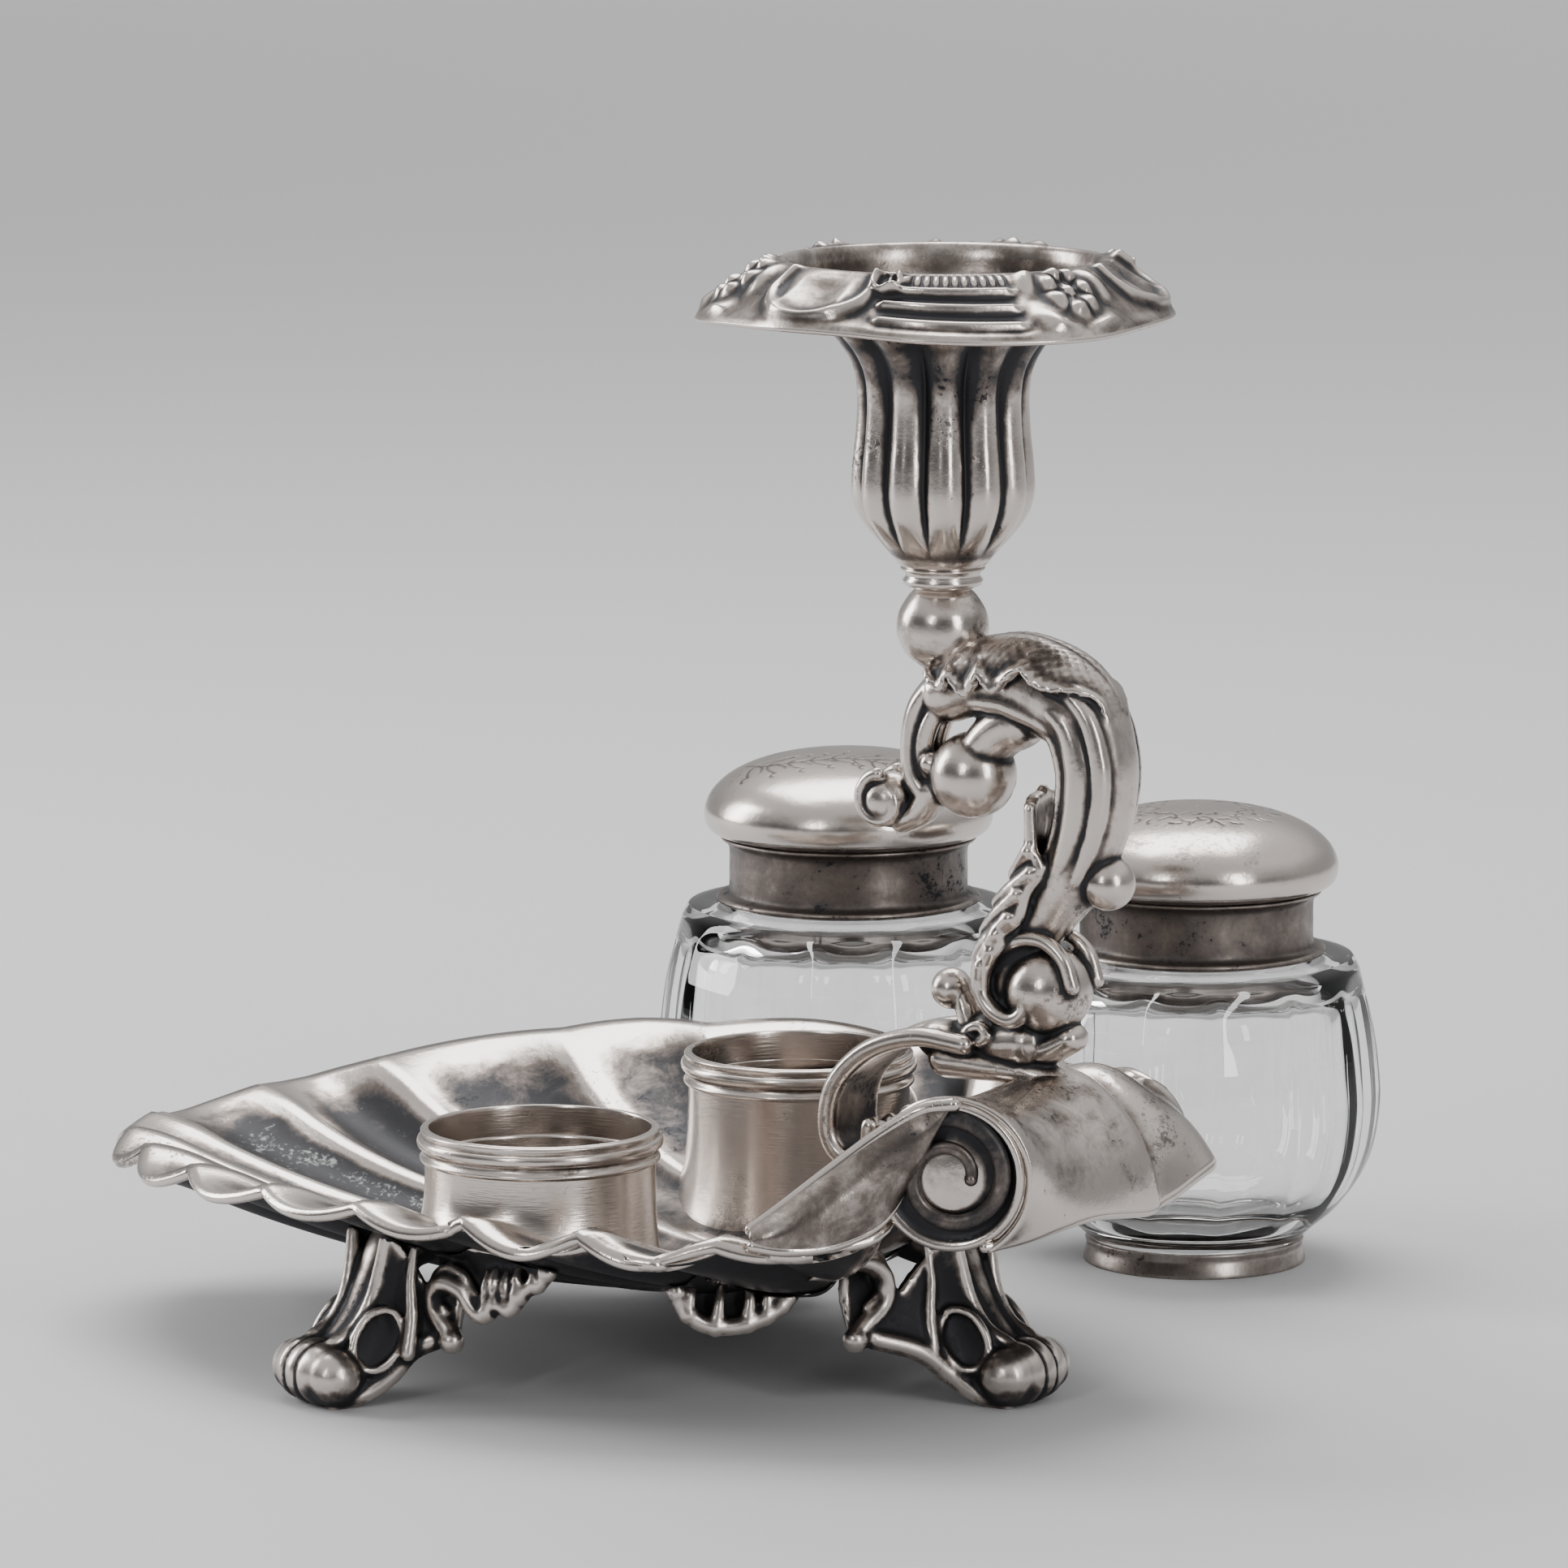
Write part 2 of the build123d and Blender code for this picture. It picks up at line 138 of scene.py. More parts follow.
def grid_faces(rows, columns, close_rows=False, close_columns=False, start=0):
    """The quads of a grid of points, as index tuples."""
    r = np.arange(rows if close_rows else rows - 1)
    c = np.arange(columns if close_columns else columns - 1)
    r, c = (a.ravel() for a in np.meshgrid(r, c, indexing="ij"))
    r2, c2 = (r + 1) % rows, (c + 1) % columns
    quads = np.stack((r * columns + c, r * columns + c2, r2 * columns + c2, r2 * columns + c), -1)
    return (quads + start).tolist()


def revolved(profile, steps=192, ripple=None):
    """Points and faces turned from a section of radii and heights; a ripple varies it around."""
    profile = np.asarray(profile, float)
    turn = np.linspace(0, 2 * pi, steps, endpoint=False)
    radius = profile[None, :, 0] * np.ones((steps, 1))
    height = profile[None, :, 1] * np.ones((steps, 1))
    if ripple is not None:
        radius, height = ripple(turn[:, None], radius, height)
    points = np.stack((radius * np.cos(turn)[:, None], radius * np.sin(turn)[:, None], height), -1)
    return points, grid_faces(steps, len(profile), close_rows=True)


def tube(path, radii, sides=20, flat=1.0, up=(0, 1, 0)):
    """A round-ended tube along a path; flat stretches its section along the up direction."""
    path = np.asarray(path, float)
    radii = np.broadcast_to(np.asarray(radii, float), len(path)).copy()
    ahead = np.gradient(path, axis=0)
    ahead /= np.linalg.norm(ahead, axis=1)[:, None]
    up = np.asarray(up, float)
    side = np.cross(ahead, up)
    side /= np.linalg.norm(side, axis=1)[:, None]
    across = np.cross(side, ahead)
    rounding = np.linspace(0.15, pi / 2, 5)
    head = [path[0] - ahead[0] * radii[0] * cos(a) for a in rounding]
    tail = [path[-1] + ahead[-1] * radii[-1] * cos(a) for a in rounding[::-1]]
    centres = np.vstack((head, path[1:-1], tail))
    sizes = np.concatenate((radii[0] * np.sin(rounding), radii[1:-1], radii[-1] * np.sin(rounding[::-1])))
    sides_of = np.vstack(([side[0]] * 5, side[1:-1], [side[-1]] * 5))
    across_of = np.vstack(([across[0]] * 5, across[1:-1], [across[-1]] * 5))
    turn = np.linspace(0, 2 * pi, sides, endpoint=False)
    wide, high = np.cos(turn)[None, :, None], flat * np.sin(turn)[None, :, None]
    ring = wide * sides_of[:, None] + high * across_of[:, None]
    points = centres[:, None] + ring * sizes[:, None, None]
    faces = grid_faces(len(centres), sides, close_columns=True)
    last = (len(centres) - 1) * sides
    faces += [tuple(range(sides))[::-1], tuple(last + i for i in range(sides))]
    return points.reshape(-1, 3), faces


def ball(centre, radius):
    """Points and faces of a ball."""
    around = 40
    lift = np.linspace(-pi / 2, pi / 2, 25)
    profile = np.stack((np.maximum(np.cos(lift), 0.001), np.sin(lift)), -1) * radius
    points, faces = revolved(profile, around)
    columns = len(profile)
    faces = faces + [tuple(i * columns for i in range(around))[::-1]]
    faces = faces + [tuple(i * columns + columns - 1 for i in range(around))]
    return points.reshape(-1, 3) + np.asarray(centre, float), faces


def joined(parts):
    """One set of points and faces from several."""
    points, faces, count = [], [], 0
    for p, f in parts:
        p = np.asarray(p, float).reshape(-1, 3)
        points.append(p)
        faces += [tuple(i + count for i in face) for face in f]
        count += len(p)
    return np.vstack(points), faces


def applied(thing):
    """The object with its modifiers made real."""
    depsgraph = bpy.context.evaluated_depsgraph_get()
    mesh = bpy.data.meshes.new_from_object(thing.evaluated_get(depsgraph))
    thing.modifiers.clear()
    old = thing.data
    thing.data = mesh
    bpy.data.meshes.remove(old)
    thing.data.shade_smooth()
    return thing


def cast(name, parts, voxel):
    """Several solids melted into one casting with soft joins."""
    thing = mesh_object(name, *joined(parts))
    fusing = thing.modifiers.new("fuse", "REMESH")
    fusing.mode = "VOXEL"
    fusing.voxel_size = voxel * MM
    easing = thing.modifiers.new("ease", "SMOOTH")
    easing.factor = 0.5
    easing.iterations = 2
    return applied(thing)


def hollows(thing, reach=6, gain=900.0, under=0.0, extra=0.0):
    """Stores how deep each point lies in a hollow: 0 on a crest, 0.5 on a flat and 1 in a groove; under
    adds painted shade on faces turned downward, and extra adds given amounts.
    """
    mesh = thing.data
    count = len(mesh.vertices)
    place = np.empty(count * 3)
    mesh.vertices.foreach_get("co", place)
    place = place.reshape(-1, 3)
    normal = np.empty(count * 3)
    mesh.vertices.foreach_get("normal", normal)
    normal = normal.reshape(-1, 3)
    edges = np.empty(len(mesh.edges) * 2, int)
    mesh.edges.foreach_get("vertices", edges)
    a, b = edges.reshape(-1, 2).T
    degree = np.bincount(a, minlength=count) + np.bincount(b, minlength=count)
    spread = place.copy()
    found = np.zeros(count)
    for turn in range(1, reach * 4 + 1):
        total = [np.bincount(a, axis[b], count) + np.bincount(b, axis[a], count) for axis in spread.T]
        spread = np.stack(total, -1) / np.maximum(degree, 1)[:, None]
        if turn in (reach, reach * 4):
            found += ((spread - place) * normal).sum(1) * gain
    # painted shade: faces turned downward are darkened by the under amount, as if shadowed
    found += under * smooth(-normal[:, 2], 0.0, 0.6) + extra
    store(thing, "hollow", np.clip(0.5 + found, 0, 1))


def store_least(thing, least):
    """Raises the stored hollow of a dark piece to a least value."""
    layer = thing.data.attributes["hollow"]
    values = np.empty(len(layer.data))
    layer.data.foreach_get("value", values)
    store(thing, "hollow", np.maximum(values, least))


def store(thing, name, values):
    """A named number on each point of a mesh."""
    layer = thing.data.attributes.get(name) or thing.data.attributes.new(name, "FLOAT", "POINT")
    layer.data.foreach_set("value", np.asarray(values, np.float32).ravel())


def place_piece(thing, body, slot, material, *nodes):
    """Gives a piece its material, the body it rides on, and the CAD nodes that it stands for."""
    thing.data.materials.clear()
    thing.data.materials.append(material)
    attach(thing, body)
    if nodes:
        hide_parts(*nodes)
    return thing


# ---- materials ----


class Flow:
    """A socket of a material's nodes, or a number, that can be written in a sum."""

    def __init__(self, tree, source):
        self.tree = tree
        self.source = source

    def node(self, kind, settings=None, output=0, **inputs):
        """Adds a node with its settings and its inputs, by name or as i0, i1, and returns one output."""
        made = self.tree.nodes.new(kind)
        for key, value in (settings or {}).items():
            setattr(made, key, value)
        for key, value in inputs.items():
            key = key.replace("_", " ")
            numbered = key[0] == "i" and key[1:].isdigit()
            self.join(value, made.inputs[int(key[1:]) if numbered else key])
        return Flow(self.tree, made.outputs[output])

    def join(self, value, socket):
        """Links a flow to a socket, or sets the socket to a plain value."""
        if isinstance(value, Flow):
            self.tree.links.new(value.source, socket)
        else:
            socket.default_value = value

    def maths(self, operation, a, b=0.0, clamp=False):
        """One step of arithmetic on two values."""
        return self.node("ShaderNodeMath", {"operation": operation, "use_clamp": clamp}, i0=a, i1=b)

    def __add__(self, other):
        return self.maths("ADD", self, other)

    __radd__ = __add__

    def __sub__(self, other):
        return self.maths("SUBTRACT", self, other)

    def __rsub__(self, other):
        return self.maths("SUBTRACT", other, self)

    def __mul__(self, other):
        return self.maths("MULTIPLY", self, other)

    __rmul__ = __mul__

    def held(self):
        """The value kept between 0 and 1."""
        return self.maths("ADD", self, 0.0, clamp=True)

    def step(self, low, high):
        """A soft step from 0 at low to 1 at high."""
        return self.node(
            "ShaderNodeMapRange",
            {"interpolation_type": "SMOOTHSTEP"},
            Value=self,
            From_Min=low,
            From_Max=high,
        )

    def blend(self, first, second):
        """A colour that goes from first to second as this value goes from 0 to 1."""
        return self.node("ShaderNodeMix", {"data_type": "RGBA"}, 2, i0=self, i6=first, i7=second)


def new_material(name):
    """A new material, the start of its flow, and its shader."""
    material = bpy.data.materials.new(name)
    material.use_nodes = True
    shader = material.node_tree.nodes["Principled BSDF"]
    return material, Flow(material.node_tree, None), shader


def grain(flow, scale, detail=4.0, rough=0.55, warp=0.0, stretch=(1, 1, 1)):
    """Noise in the object's own space; scale is in lumps a metre."""
    where = flow.node("ShaderNodeTexCoord", output=3)
    placed = flow.node("ShaderNodeMapping", Vector=where, Scale=stretch)
    return flow.node(
        "ShaderNodeTexNoise",
        Vector=placed,
        Scale=scale,
        Detail=detail,
        Roughness=rough,
        Distortion=warp,
    )


def silver(name, tarnish, bright, warm, black, gloss=0.17, reach=1.0, pits=0.5, mottle=1.0,
           brushed=None, chalk=0.0):
    """Worn silver: bright where it is handled, brown then black where tarnish gathers in hollows and where
    painted shade is stored with it.
    """
    material, flow, shader = new_material(name)
    hollow = flow.node("ShaderNodeAttribute", {"attribute_name": "hollow"}, 2)
    clouds = grain(flow, 48, 5, 0.6, 0.6)
    blots = grain(flow, 190, 6, 0.7, 0.4)
    specks = grain(flow, 1300, 4, 0.65)
    patches = (clouds - 0.5) * 1.1 + (blots - 0.5) * 1.2
    # tarnish in hollows plus the painted shade stored in the same number; both darken the silver here
    tarnish_and_painted_shade = (hollow - 0.5) * (2.0 * reach) + patches * mottle + tarnish
    brown = tarnish_and_painted_shade.step(0.0, 0.55)
    dark = tarnish_and_painted_shade.step(0.38, 0.95)
    pitted = ((specks - 0.5) + (clouds - 0.5) * 1.3 + (blots - 0.5) * 0.9).step(0.20, 0.30) * pits
    colour = (brown * 0.9 + (specks - 0.5) * 0.2).held().blend(bright, warm)
    colour = (dark + pitted).held().blend(colour, black)
    if chalk:
        facing = flow.node("ShaderNodeNewGeometry", output=1)
        upward = flow.node("ShaderNodeSeparateXYZ", output=2, Vector=facing)
        laid = ((hollow - 0.78) * 2.2 + (specks - 0.5) * 1.6 + (blots - 0.55) * 1.6).step(0.15, 0.5)
        powder = laid * upward.step(0.35, 0.75) * chalk
        colour = powder.blend(colour, (0.66, 0.70, 0.66, 1))
        flow.join((1 - dark * 0.30 - powder * 0.7).held(), shader.inputs["Metallic"])
    else:
        flow.join((1 - dark * 0.30).held(), shader.inputs["Metallic"])
    flow.join(colour, shader.inputs["Base Color"])
    film = grain(flow, 130, 4, 0.6)
    rough = gloss + film * 0.12 + brown * 0.08 + dark * 0.16 + pitted * 0.2
    flow.join(rough.held(), shader.inputs["Roughness"])
    if brushed:
        fine = grain(flow, 300, 2, 0.5, 0.0, brushed) * 0.5 + specks * 0.1
    else:
        fine = grain(flow, 420, 4, 0.6) * 0.8 + specks * 0.3
    flow.join(
        flow.node("ShaderNodeBump", Strength=0.2, Distance=0.0003, Height=fine - pitted * 0.6 - dark * 0.3),
        shader.inputs["Normal"],
    )
    return material


def silver_of(kind):
    """The silver of one group of pieces, made once."""
    if kind in bpy.data.materials:
        return bpy.data.materials[kind]
    look = bpy.context.scene.inkstand_colours
    bright = (*look.bright_silver, 1)
    warm = (*look.warm_tarnish_and_shade, 1)
    black = (*look.black_tarnish_and_shade, 1)
    settings = {
        "tray_silver": dict(tarnish=0.34, gloss=0.15, reach=1.3, pits=0.6, chalk=0.3),
        "cast_silver": dict(tarnish=0.40, gloss=0.18, reach=1.7, pits=0.5),
        "foot_silver": dict(tarnish=0.74, gloss=0.25, reach=1.8, pits=0.4),
        "ring_silver": dict(tarnish=0.15, gloss=0.18, reach=0.9, pits=0.3, brushed=(1, 1, 14), chalk=0.3),
        "cup_silver": dict(tarnish=0.42, gloss=0.16, reach=1.9, pits=0.8, mottle=1.3),
        "pan_silver": dict(tarnish=0.42, gloss=0.18, reach=1.8, pits=0.4),
        "collar_silver": dict(tarnish=0.56, gloss=0.22, reach=0.5, pits=0.8, mottle=0.55),
        "lid_silver": dict(tarnish=0.08, gloss=0.17, reach=0.9, pits=0.3),
    }
    return silver(kind, bright=bright, warm=warm, black=black, **settings[kind])


def steel():
    """Plain grey steel of the stud and nut."""
    if "plain_steel" in bpy.data.materials:
        return bpy.data.materials["plain_steel"]
    material, flow, shader = new_material("plain_steel")
    wear = grain(flow, 400, 4, 0.6)
    flow.join(wear.blend((0.30, 0.29, 0.28, 1), (0.52, 0.50, 0.48, 1)), shader.inputs["Base Color"])
    shader.inputs["Metallic"].default_value = 1.0
    flow.join(0.3 + wear * 0.25, shader.inputs["Roughness"])
    return material


def plaster():
    """Dull plaster with fine pores."""
    material, flow, shader = new_material("plaster")
    pores = grain(flow, 900, 5, 0.7)
    flow.join(pores.blend((0.62, 0.60, 0.56, 1), (0.82, 0.80, 0.76, 1)), shader.inputs["Base Color"])
    shader.inputs["Roughness"].default_value = 0.9
    skin = flow.node("ShaderNodeBump", Strength=0.4, Distance=0.0002, Height=pores)
    flow.join(skin, shader.inputs["Normal"])
    return material


def cut_glass():
    """Clear lead glass with a faint film."""
    material, flow, shader = new_material("cut_glass")
    look = bpy.context.scene.inkstand_colours
    shader.inputs["Base Color"].default_value = (*look.glass_tint, 1)
    shader.inputs["Transmission Weight"].default_value = 1.0
    shader.inputs["IOR"].default_value = 1.53
    film = grain(flow, 90, 3, 0.5)
    flow.join(film.step(0.55, 0.85) * 0.05, shader.inputs["Roughness"])
    return material


# ---- settings that a user would change ----


class InkstandSizes(bpy.types.PropertyGroup):
    tray_lobes: bpy.props.FloatProperty(
        name="Lobe depth", description="How deep the tray's flutes are, in millimetres",
        default=3.3, min=0, max=5,
    )
    tray_sheet: bpy.props.FloatProperty(
        name="Tray sheet", description="Thickness of the tray's silver, in millimetres",
        default=1.1, min=0.5, max=3,
    )
    cup_flutes: bpy.props.IntProperty(
        name="Cup flutes", description="Flutes around the candle cup", default=12, min=6, max=24
    )
    glass_flutes: bpy.props.IntProperty(
        name="Glass flutes", description="Cut flutes around each jar", default=14, min=8, max=24
    )


class InkstandColours(bpy.types.PropertyGroup):
    bright_silver: bpy.props.FloatVectorProperty(
        name="Bright silver", description="Silver where it is handled", subtype="COLOR",
        default=(0.62, 0.56, 0.515), min=0, max=1,
    )
    # these two colours serve both the real tarnish and the painted shade stored with it
    warm_tarnish_and_shade: bpy.props.FloatVectorProperty(
        name="Warm tarnish", description="Thin brown tarnish", subtype="COLOR",
        default=(0.135, 0.108, 0.094), min=0, max=1,
    )
    black_tarnish_and_shade: bpy.props.FloatVectorProperty(
        name="Black tarnish", description="Old tarnish in the hollows", subtype="COLOR",
        default=(0.026, 0.026, 0.029), min=0, max=1,
    )
    glass_tint: bpy.props.FloatVectorProperty(
        name="Glass", description="Tint of the glass", subtype="COLOR",
        default=(1.0, 1.0, 1.0), min=0, max=1,
    )
    floor: bpy.props.FloatVectorProperty(
        name="Floor", description="Colour of the surface it stands on", subtype="COLOR",
        default=(0.61, 0.61, 0.62), min=0, max=1,
    )


# ---- the stage ----


class INKSTAND_OT_stage(bpy.types.Operator):
    """Lays the floor, the soft lights and the camera"""

    bl_idname = "inkstand.stage"
    bl_label = "Stage"

    def execute(self, context):
        far = 6000
        corners = [(-far, -far, 0), (far, -far, 0), (far, far, 0), (-far, far, 0)]
        floor = mesh_object("floor", corners, [(0, 1, 2, 3)])
        material, flow, shader = new_material("floor_paper")
        tone = (*context.scene.inkstand_colours.floor, 1)
        shade = tuple(c * 0.97 for c in tone[:3]) + (1,)
        where = flow.node("ShaderNodeTexCoord", output=3)
        away = flow.node("ShaderNodeSeparateXYZ", output=1, Vector=where)
        paper = grain(flow, 6, 3, 0.5).blend(shade, tone)
        # painted light: the floor colour brightens toward the back, standing in for the lamps' falloff
        flow.join(away.step(0.1, 3.0).blend(paper, (0.93, 0.93, 0.935, 1)), shader.inputs["Base Color"])
        shader.inputs["Roughness"].default_value = 0.75
        shader.inputs["Specular IOR Level"].default_value = 0.25
        floor.data.materials.append(material)
        lights = (
            ("top_softbox", (-250, 350, 1100), 900, 700, 12.0),
            ("left_softbox", (-1200, -250, 520), 420, 800, 12.0),
            ("right_softbox", (1150, -420, 460), 160, 700, 5.0),
            ("front_strip", (80, -1500, 700), 120, 500, 4.0),
        )
        for name, place, width, height, power in lights:
            add_softbox(name, np.array(place), width, height, power)
        add_room(context.scene)
        add_camera(context.scene)
        return {"FINISHED"}


def add_softbox(name, place, width, height, power):
    """A rectangular soft light that looks at the stand."""
    light = bpy.data.lights.new(name, "AREA")
    light.shape = "RECTANGLE"
    light.size = width * MM
    light.size_y = height * MM
    light.energy = power
    thing = bpy.data.objects.new(name, light)
    bpy.context.scene.collection.objects.link(thing)
    aim = STAND + (20, 0, 60)
    thing.location = Vector((place + STAND) * MM)
    thing.rotation_euler = Vector((aim - place - STAND) * MM).to_track_quat("-Z", "Y").to_euler()


def add_room(scene):
    """A pale room with a bright ceiling, darker low down on the camera's side."""
    world = bpy.data.worlds.new("studio")
    scene.world = world
    world.use_nodes = True
    tree = world.node_tree
    flow = Flow(tree, None)
    toward = flow.node("ShaderNodeTexCoord", output=0)
    height = flow.node("ShaderNodeSeparateXYZ", output=2, Vector=toward)
    depth = flow.node("ShaderNodeSeparateXYZ", output=1, Vector=toward)
    light = height.step(0.2, 0.8) * 0.75 + depth.step(-0.35, 0.6) * 0.38 + 0.05
    shade = light.blend((0.05, 0.052, 0.056, 1), (1.0, 1.0, 1.0, 1))
    flow.join(shade, tree.nodes["Background"].inputs["Color"])
    tree.nodes["Background"].inputs["Strength"].default_value = 0.9


def add_camera(scene):
    """A long lens, a little above the tray and to the right of its long side."""
    turn, rise, distance = radians(31.9), radians(8.9), 1414.4
    aim = STAND + (19.7, 0, 88.6)
    back = np.array((sin(turn) * cos(rise), -cos(turn) * cos(rise), sin(rise)))
    camera = bpy.data.objects.new("camera", bpy.data.cameras.new("camera"))
    camera.data.sensor_width = 36
    camera.data.lens = 219.6
    camera.data.clip_end = 50
    camera.location = Vector((aim + back * distance) * MM)
    camera.rotation_euler = Vector(-back).to_track_quat("-Z", "Y").to_euler()
    scene.collection.objects.link(camera)
    scene.camera = camera


# ---- the tray ----

APEX = (46.0, 0.0)
BOWL_CENTRE = -2.0
BOWL_LOW = 13.0
BLUNT_END = 63.0
HALF_WIDTH = 60.0
NOTCHES = (-175, -158, -143, -128, -114, -101, -88, -70, -52, -31, 31, 52, 70, 88, 108, 123, 143, 160)
RIM_TREND = (
    (-180, 29.5), (-134, 31.5), (-90, 33), (-55, 32), (-31, 31.5), (0, 36), (31, 42), (60, 43),
    (90, 42.5), (115, 42), (134, 38), (155, 32), (180, 29.5),
)
ROLL = (65.5, 39.3)
ROLL_RADIUS = 10.4
VOLUTE_Y = 30.0


def rim_outline(turn):
    """The rim in plan: it narrows to the tip, and is squarer at the hinge, where the hood takes over."""
    c, s = np.cos(turn), np.sin(turn)
    blunt = (np.abs(c / BLUNT_END) ** 2.5 + np.abs(s / HALF_WIDTH) ** 2.5) ** -0.4
    under_hood = 7.5 * (1 - smooth(np.abs(turn), 0.36, 0.54))
    x = np.where(c > 0, blunt * c - under_hood, (TIP - 1) * c)
    y = np.where(c > 0, blunt * s, HALF_WIDTH * s * (1 - 0.2 * c * c))
    return x, y


def rim_height(turn):
    """The height of the rim, low on the near side and high at the back."""
    places, heights = np.array(RIM_TREND).T
    around = [(np.degrees(turn) + shift + 180) % 360 - 180 for shift in (-9, -4, 0, 4, 9)]
    return np.mean([np.interp(place, places, heights) for place in around], axis=0)


def bowl(x, y):
    """The height of the tray's inside under a place, before its flutes."""
    turns = np.linspace(-pi, pi, 721)
    rx, ry = rim_outline(turns)
    angles = np.unwrap(np.arctan2(ry, rx - BOWL_CENTRE))
    here = np.arctan2(y, x - BOWL_CENTRE)
    reach = np.interp(here, angles, np.hypot(rx - BOWL_CENTRE, ry))
    high = np.interp(here, angles, rim_height(turns))
    steep = 3.6 - 1.6 * smooth(np.abs(here), 0.3, 1.0)
    return BOWL_LOW + (high - BOWL_LOW) * np.clip(np.hypot(x - BOWL_CENTRE, y) / reach, 0, 1.1) ** steep


def lobe_columns(each):
    """Rim angles spaced evenly in each lobe, with how far along its lobe each lies."""
    ends = np.radians(np.append(NOTCHES, NOTCHES[0] + 360))
    share = np.arange(each) / each
    turn = np.concatenate([a + (b - a) * share for a, b in zip(ends[:-1], ends[1:])])
    return (turn + pi) % (2 * pi) - pi, np.tile(share, len(NOTCHES))


def dish(depth):
    """The fluted sheet of the bowl, as a grid of points out to the rim, and how much painted shade each
    point gets.
    """
    turn, share = lobe_columns(26)
    bold = 1 + 0.28 * np.sin(turn * 4.7 + 1.0)
    lobe = (1 - np.abs(2 * share - 1) ** 1.9) * bold
    hooded = 1 - smooth(np.abs(turn), 0.42, 0.60)
    far = np.sin(turn)
    x, y = rim_outline(turn)
    outward = np.stack((x, y * 1.3), -1) / np.hypot(x, y * 1.3)[:, None]
    swell = 1.9 * (lobe - 0.5) * (1 - hooded)
    x, y = x + outward[:, 0] * swell, y + outward[:, 1] * swell
    out = np.linspace(0.02, 1, 120)[:, None]
    sway = 0.055 * np.sin(pi * out) * np.sin(pi * np.clip(1.6 - out, 0, 1))
    across = np.stack((-(y - APEX[1]), x - APEX[0]), -1)
    px = APEX[0] + (x - APEX[0]) * out + across[:, 0] * sway
    py = APEX[1] + (y - APEX[1]) * out + across[:, 1] * sway
    lift = (0.6 + 1.3 * far) * (lobe - 0.5) * (1 - hooded) * smooth(out, 0.75, 1)
    flare = np.clip((out - 0.925) / 0.075, 0, 1) ** 2 * (1 - hooded)
    base = np.stack((px, py, bowl(px, py) + lift - 1.7 * flare), -1)
    up = np.cross(np.gradient(base, axis=0), np.gradient(base, axis=1))
    up /= np.maximum(np.linalg.norm(up, axis=2), 1e-9)[..., None]
    up *= np.where(up[..., 2:] < 0, -1, 1)
    groove = depth * smooth(out, 0.12, 1.0) * lobe * (1 - hooded)
    points = base - up * groove[..., None]
    beak = np.exp(-(((np.abs(turn) - pi) / 0.2) ** 2))
    curl = np.linspace(0, 1, 9)[1:, None]
    tip_rows = points[-1][None] + np.stack(
        (
            (-1.8 * np.sin(curl * 2.4) + 0.4 * curl) * beak,
            0.0 * curl * beak,
            -7.2 * curl**1.6 * beak - 0.12 * curl * np.ones_like(beak),
        ),
        -1,
    )
    # painted shade: one flank of each lobe is darkened to stand for the dark reflection that falls on it
    shade = np.clip(1 - share / 0.42, 0, 1) * smooth(out, 0.15, 0.6) * (1 - hooded) * bold
    return np.concatenate((points, tip_rows)), np.vstack((shade, np.repeat(shade[-1:], 8, axis=0)))


def sheet_object(name, grid, thickness, close=True):
    """A sheet of silver from a grid of points on its upper side."""
    rows, columns = grid.shape[:2]
    thing = mesh_object(name, grid, grid_faces(rows, columns, close_columns=close))
    gauge = thing.modifiers.new("gauge", "SOLIDIFY")
    gauge.thickness = thickness * MM
    gauge.offset = -1
    gauge.use_even_offset = False
    return applied(thing)


# the hood's lip: place across, reach along the stand, height
LIP = ((-25, 70.5, 29), (-22, 74, 29.8), (-17, 77, 31), (-10, 79.0, 31.6), (3, 80.2, 30.4), (7, 80.6, 31),
       (13, 81.8, 33.4), (18, 82.0, 34.6), (22, 79, 33.4), (25, 71, 29.5))
FOLD_Y = 4.5  # where the two lobes of the lip overlap
HOOD_HALF = 28.8  # half the hood, across the stand
VOLUTE_LEAN = radians(21)
FAR_DROP = 3.6  # how far the hood sinks toward its far end
FAR_SIZE = 0.72  # the far volute against the near one
SHOULDER_STEPS = 44


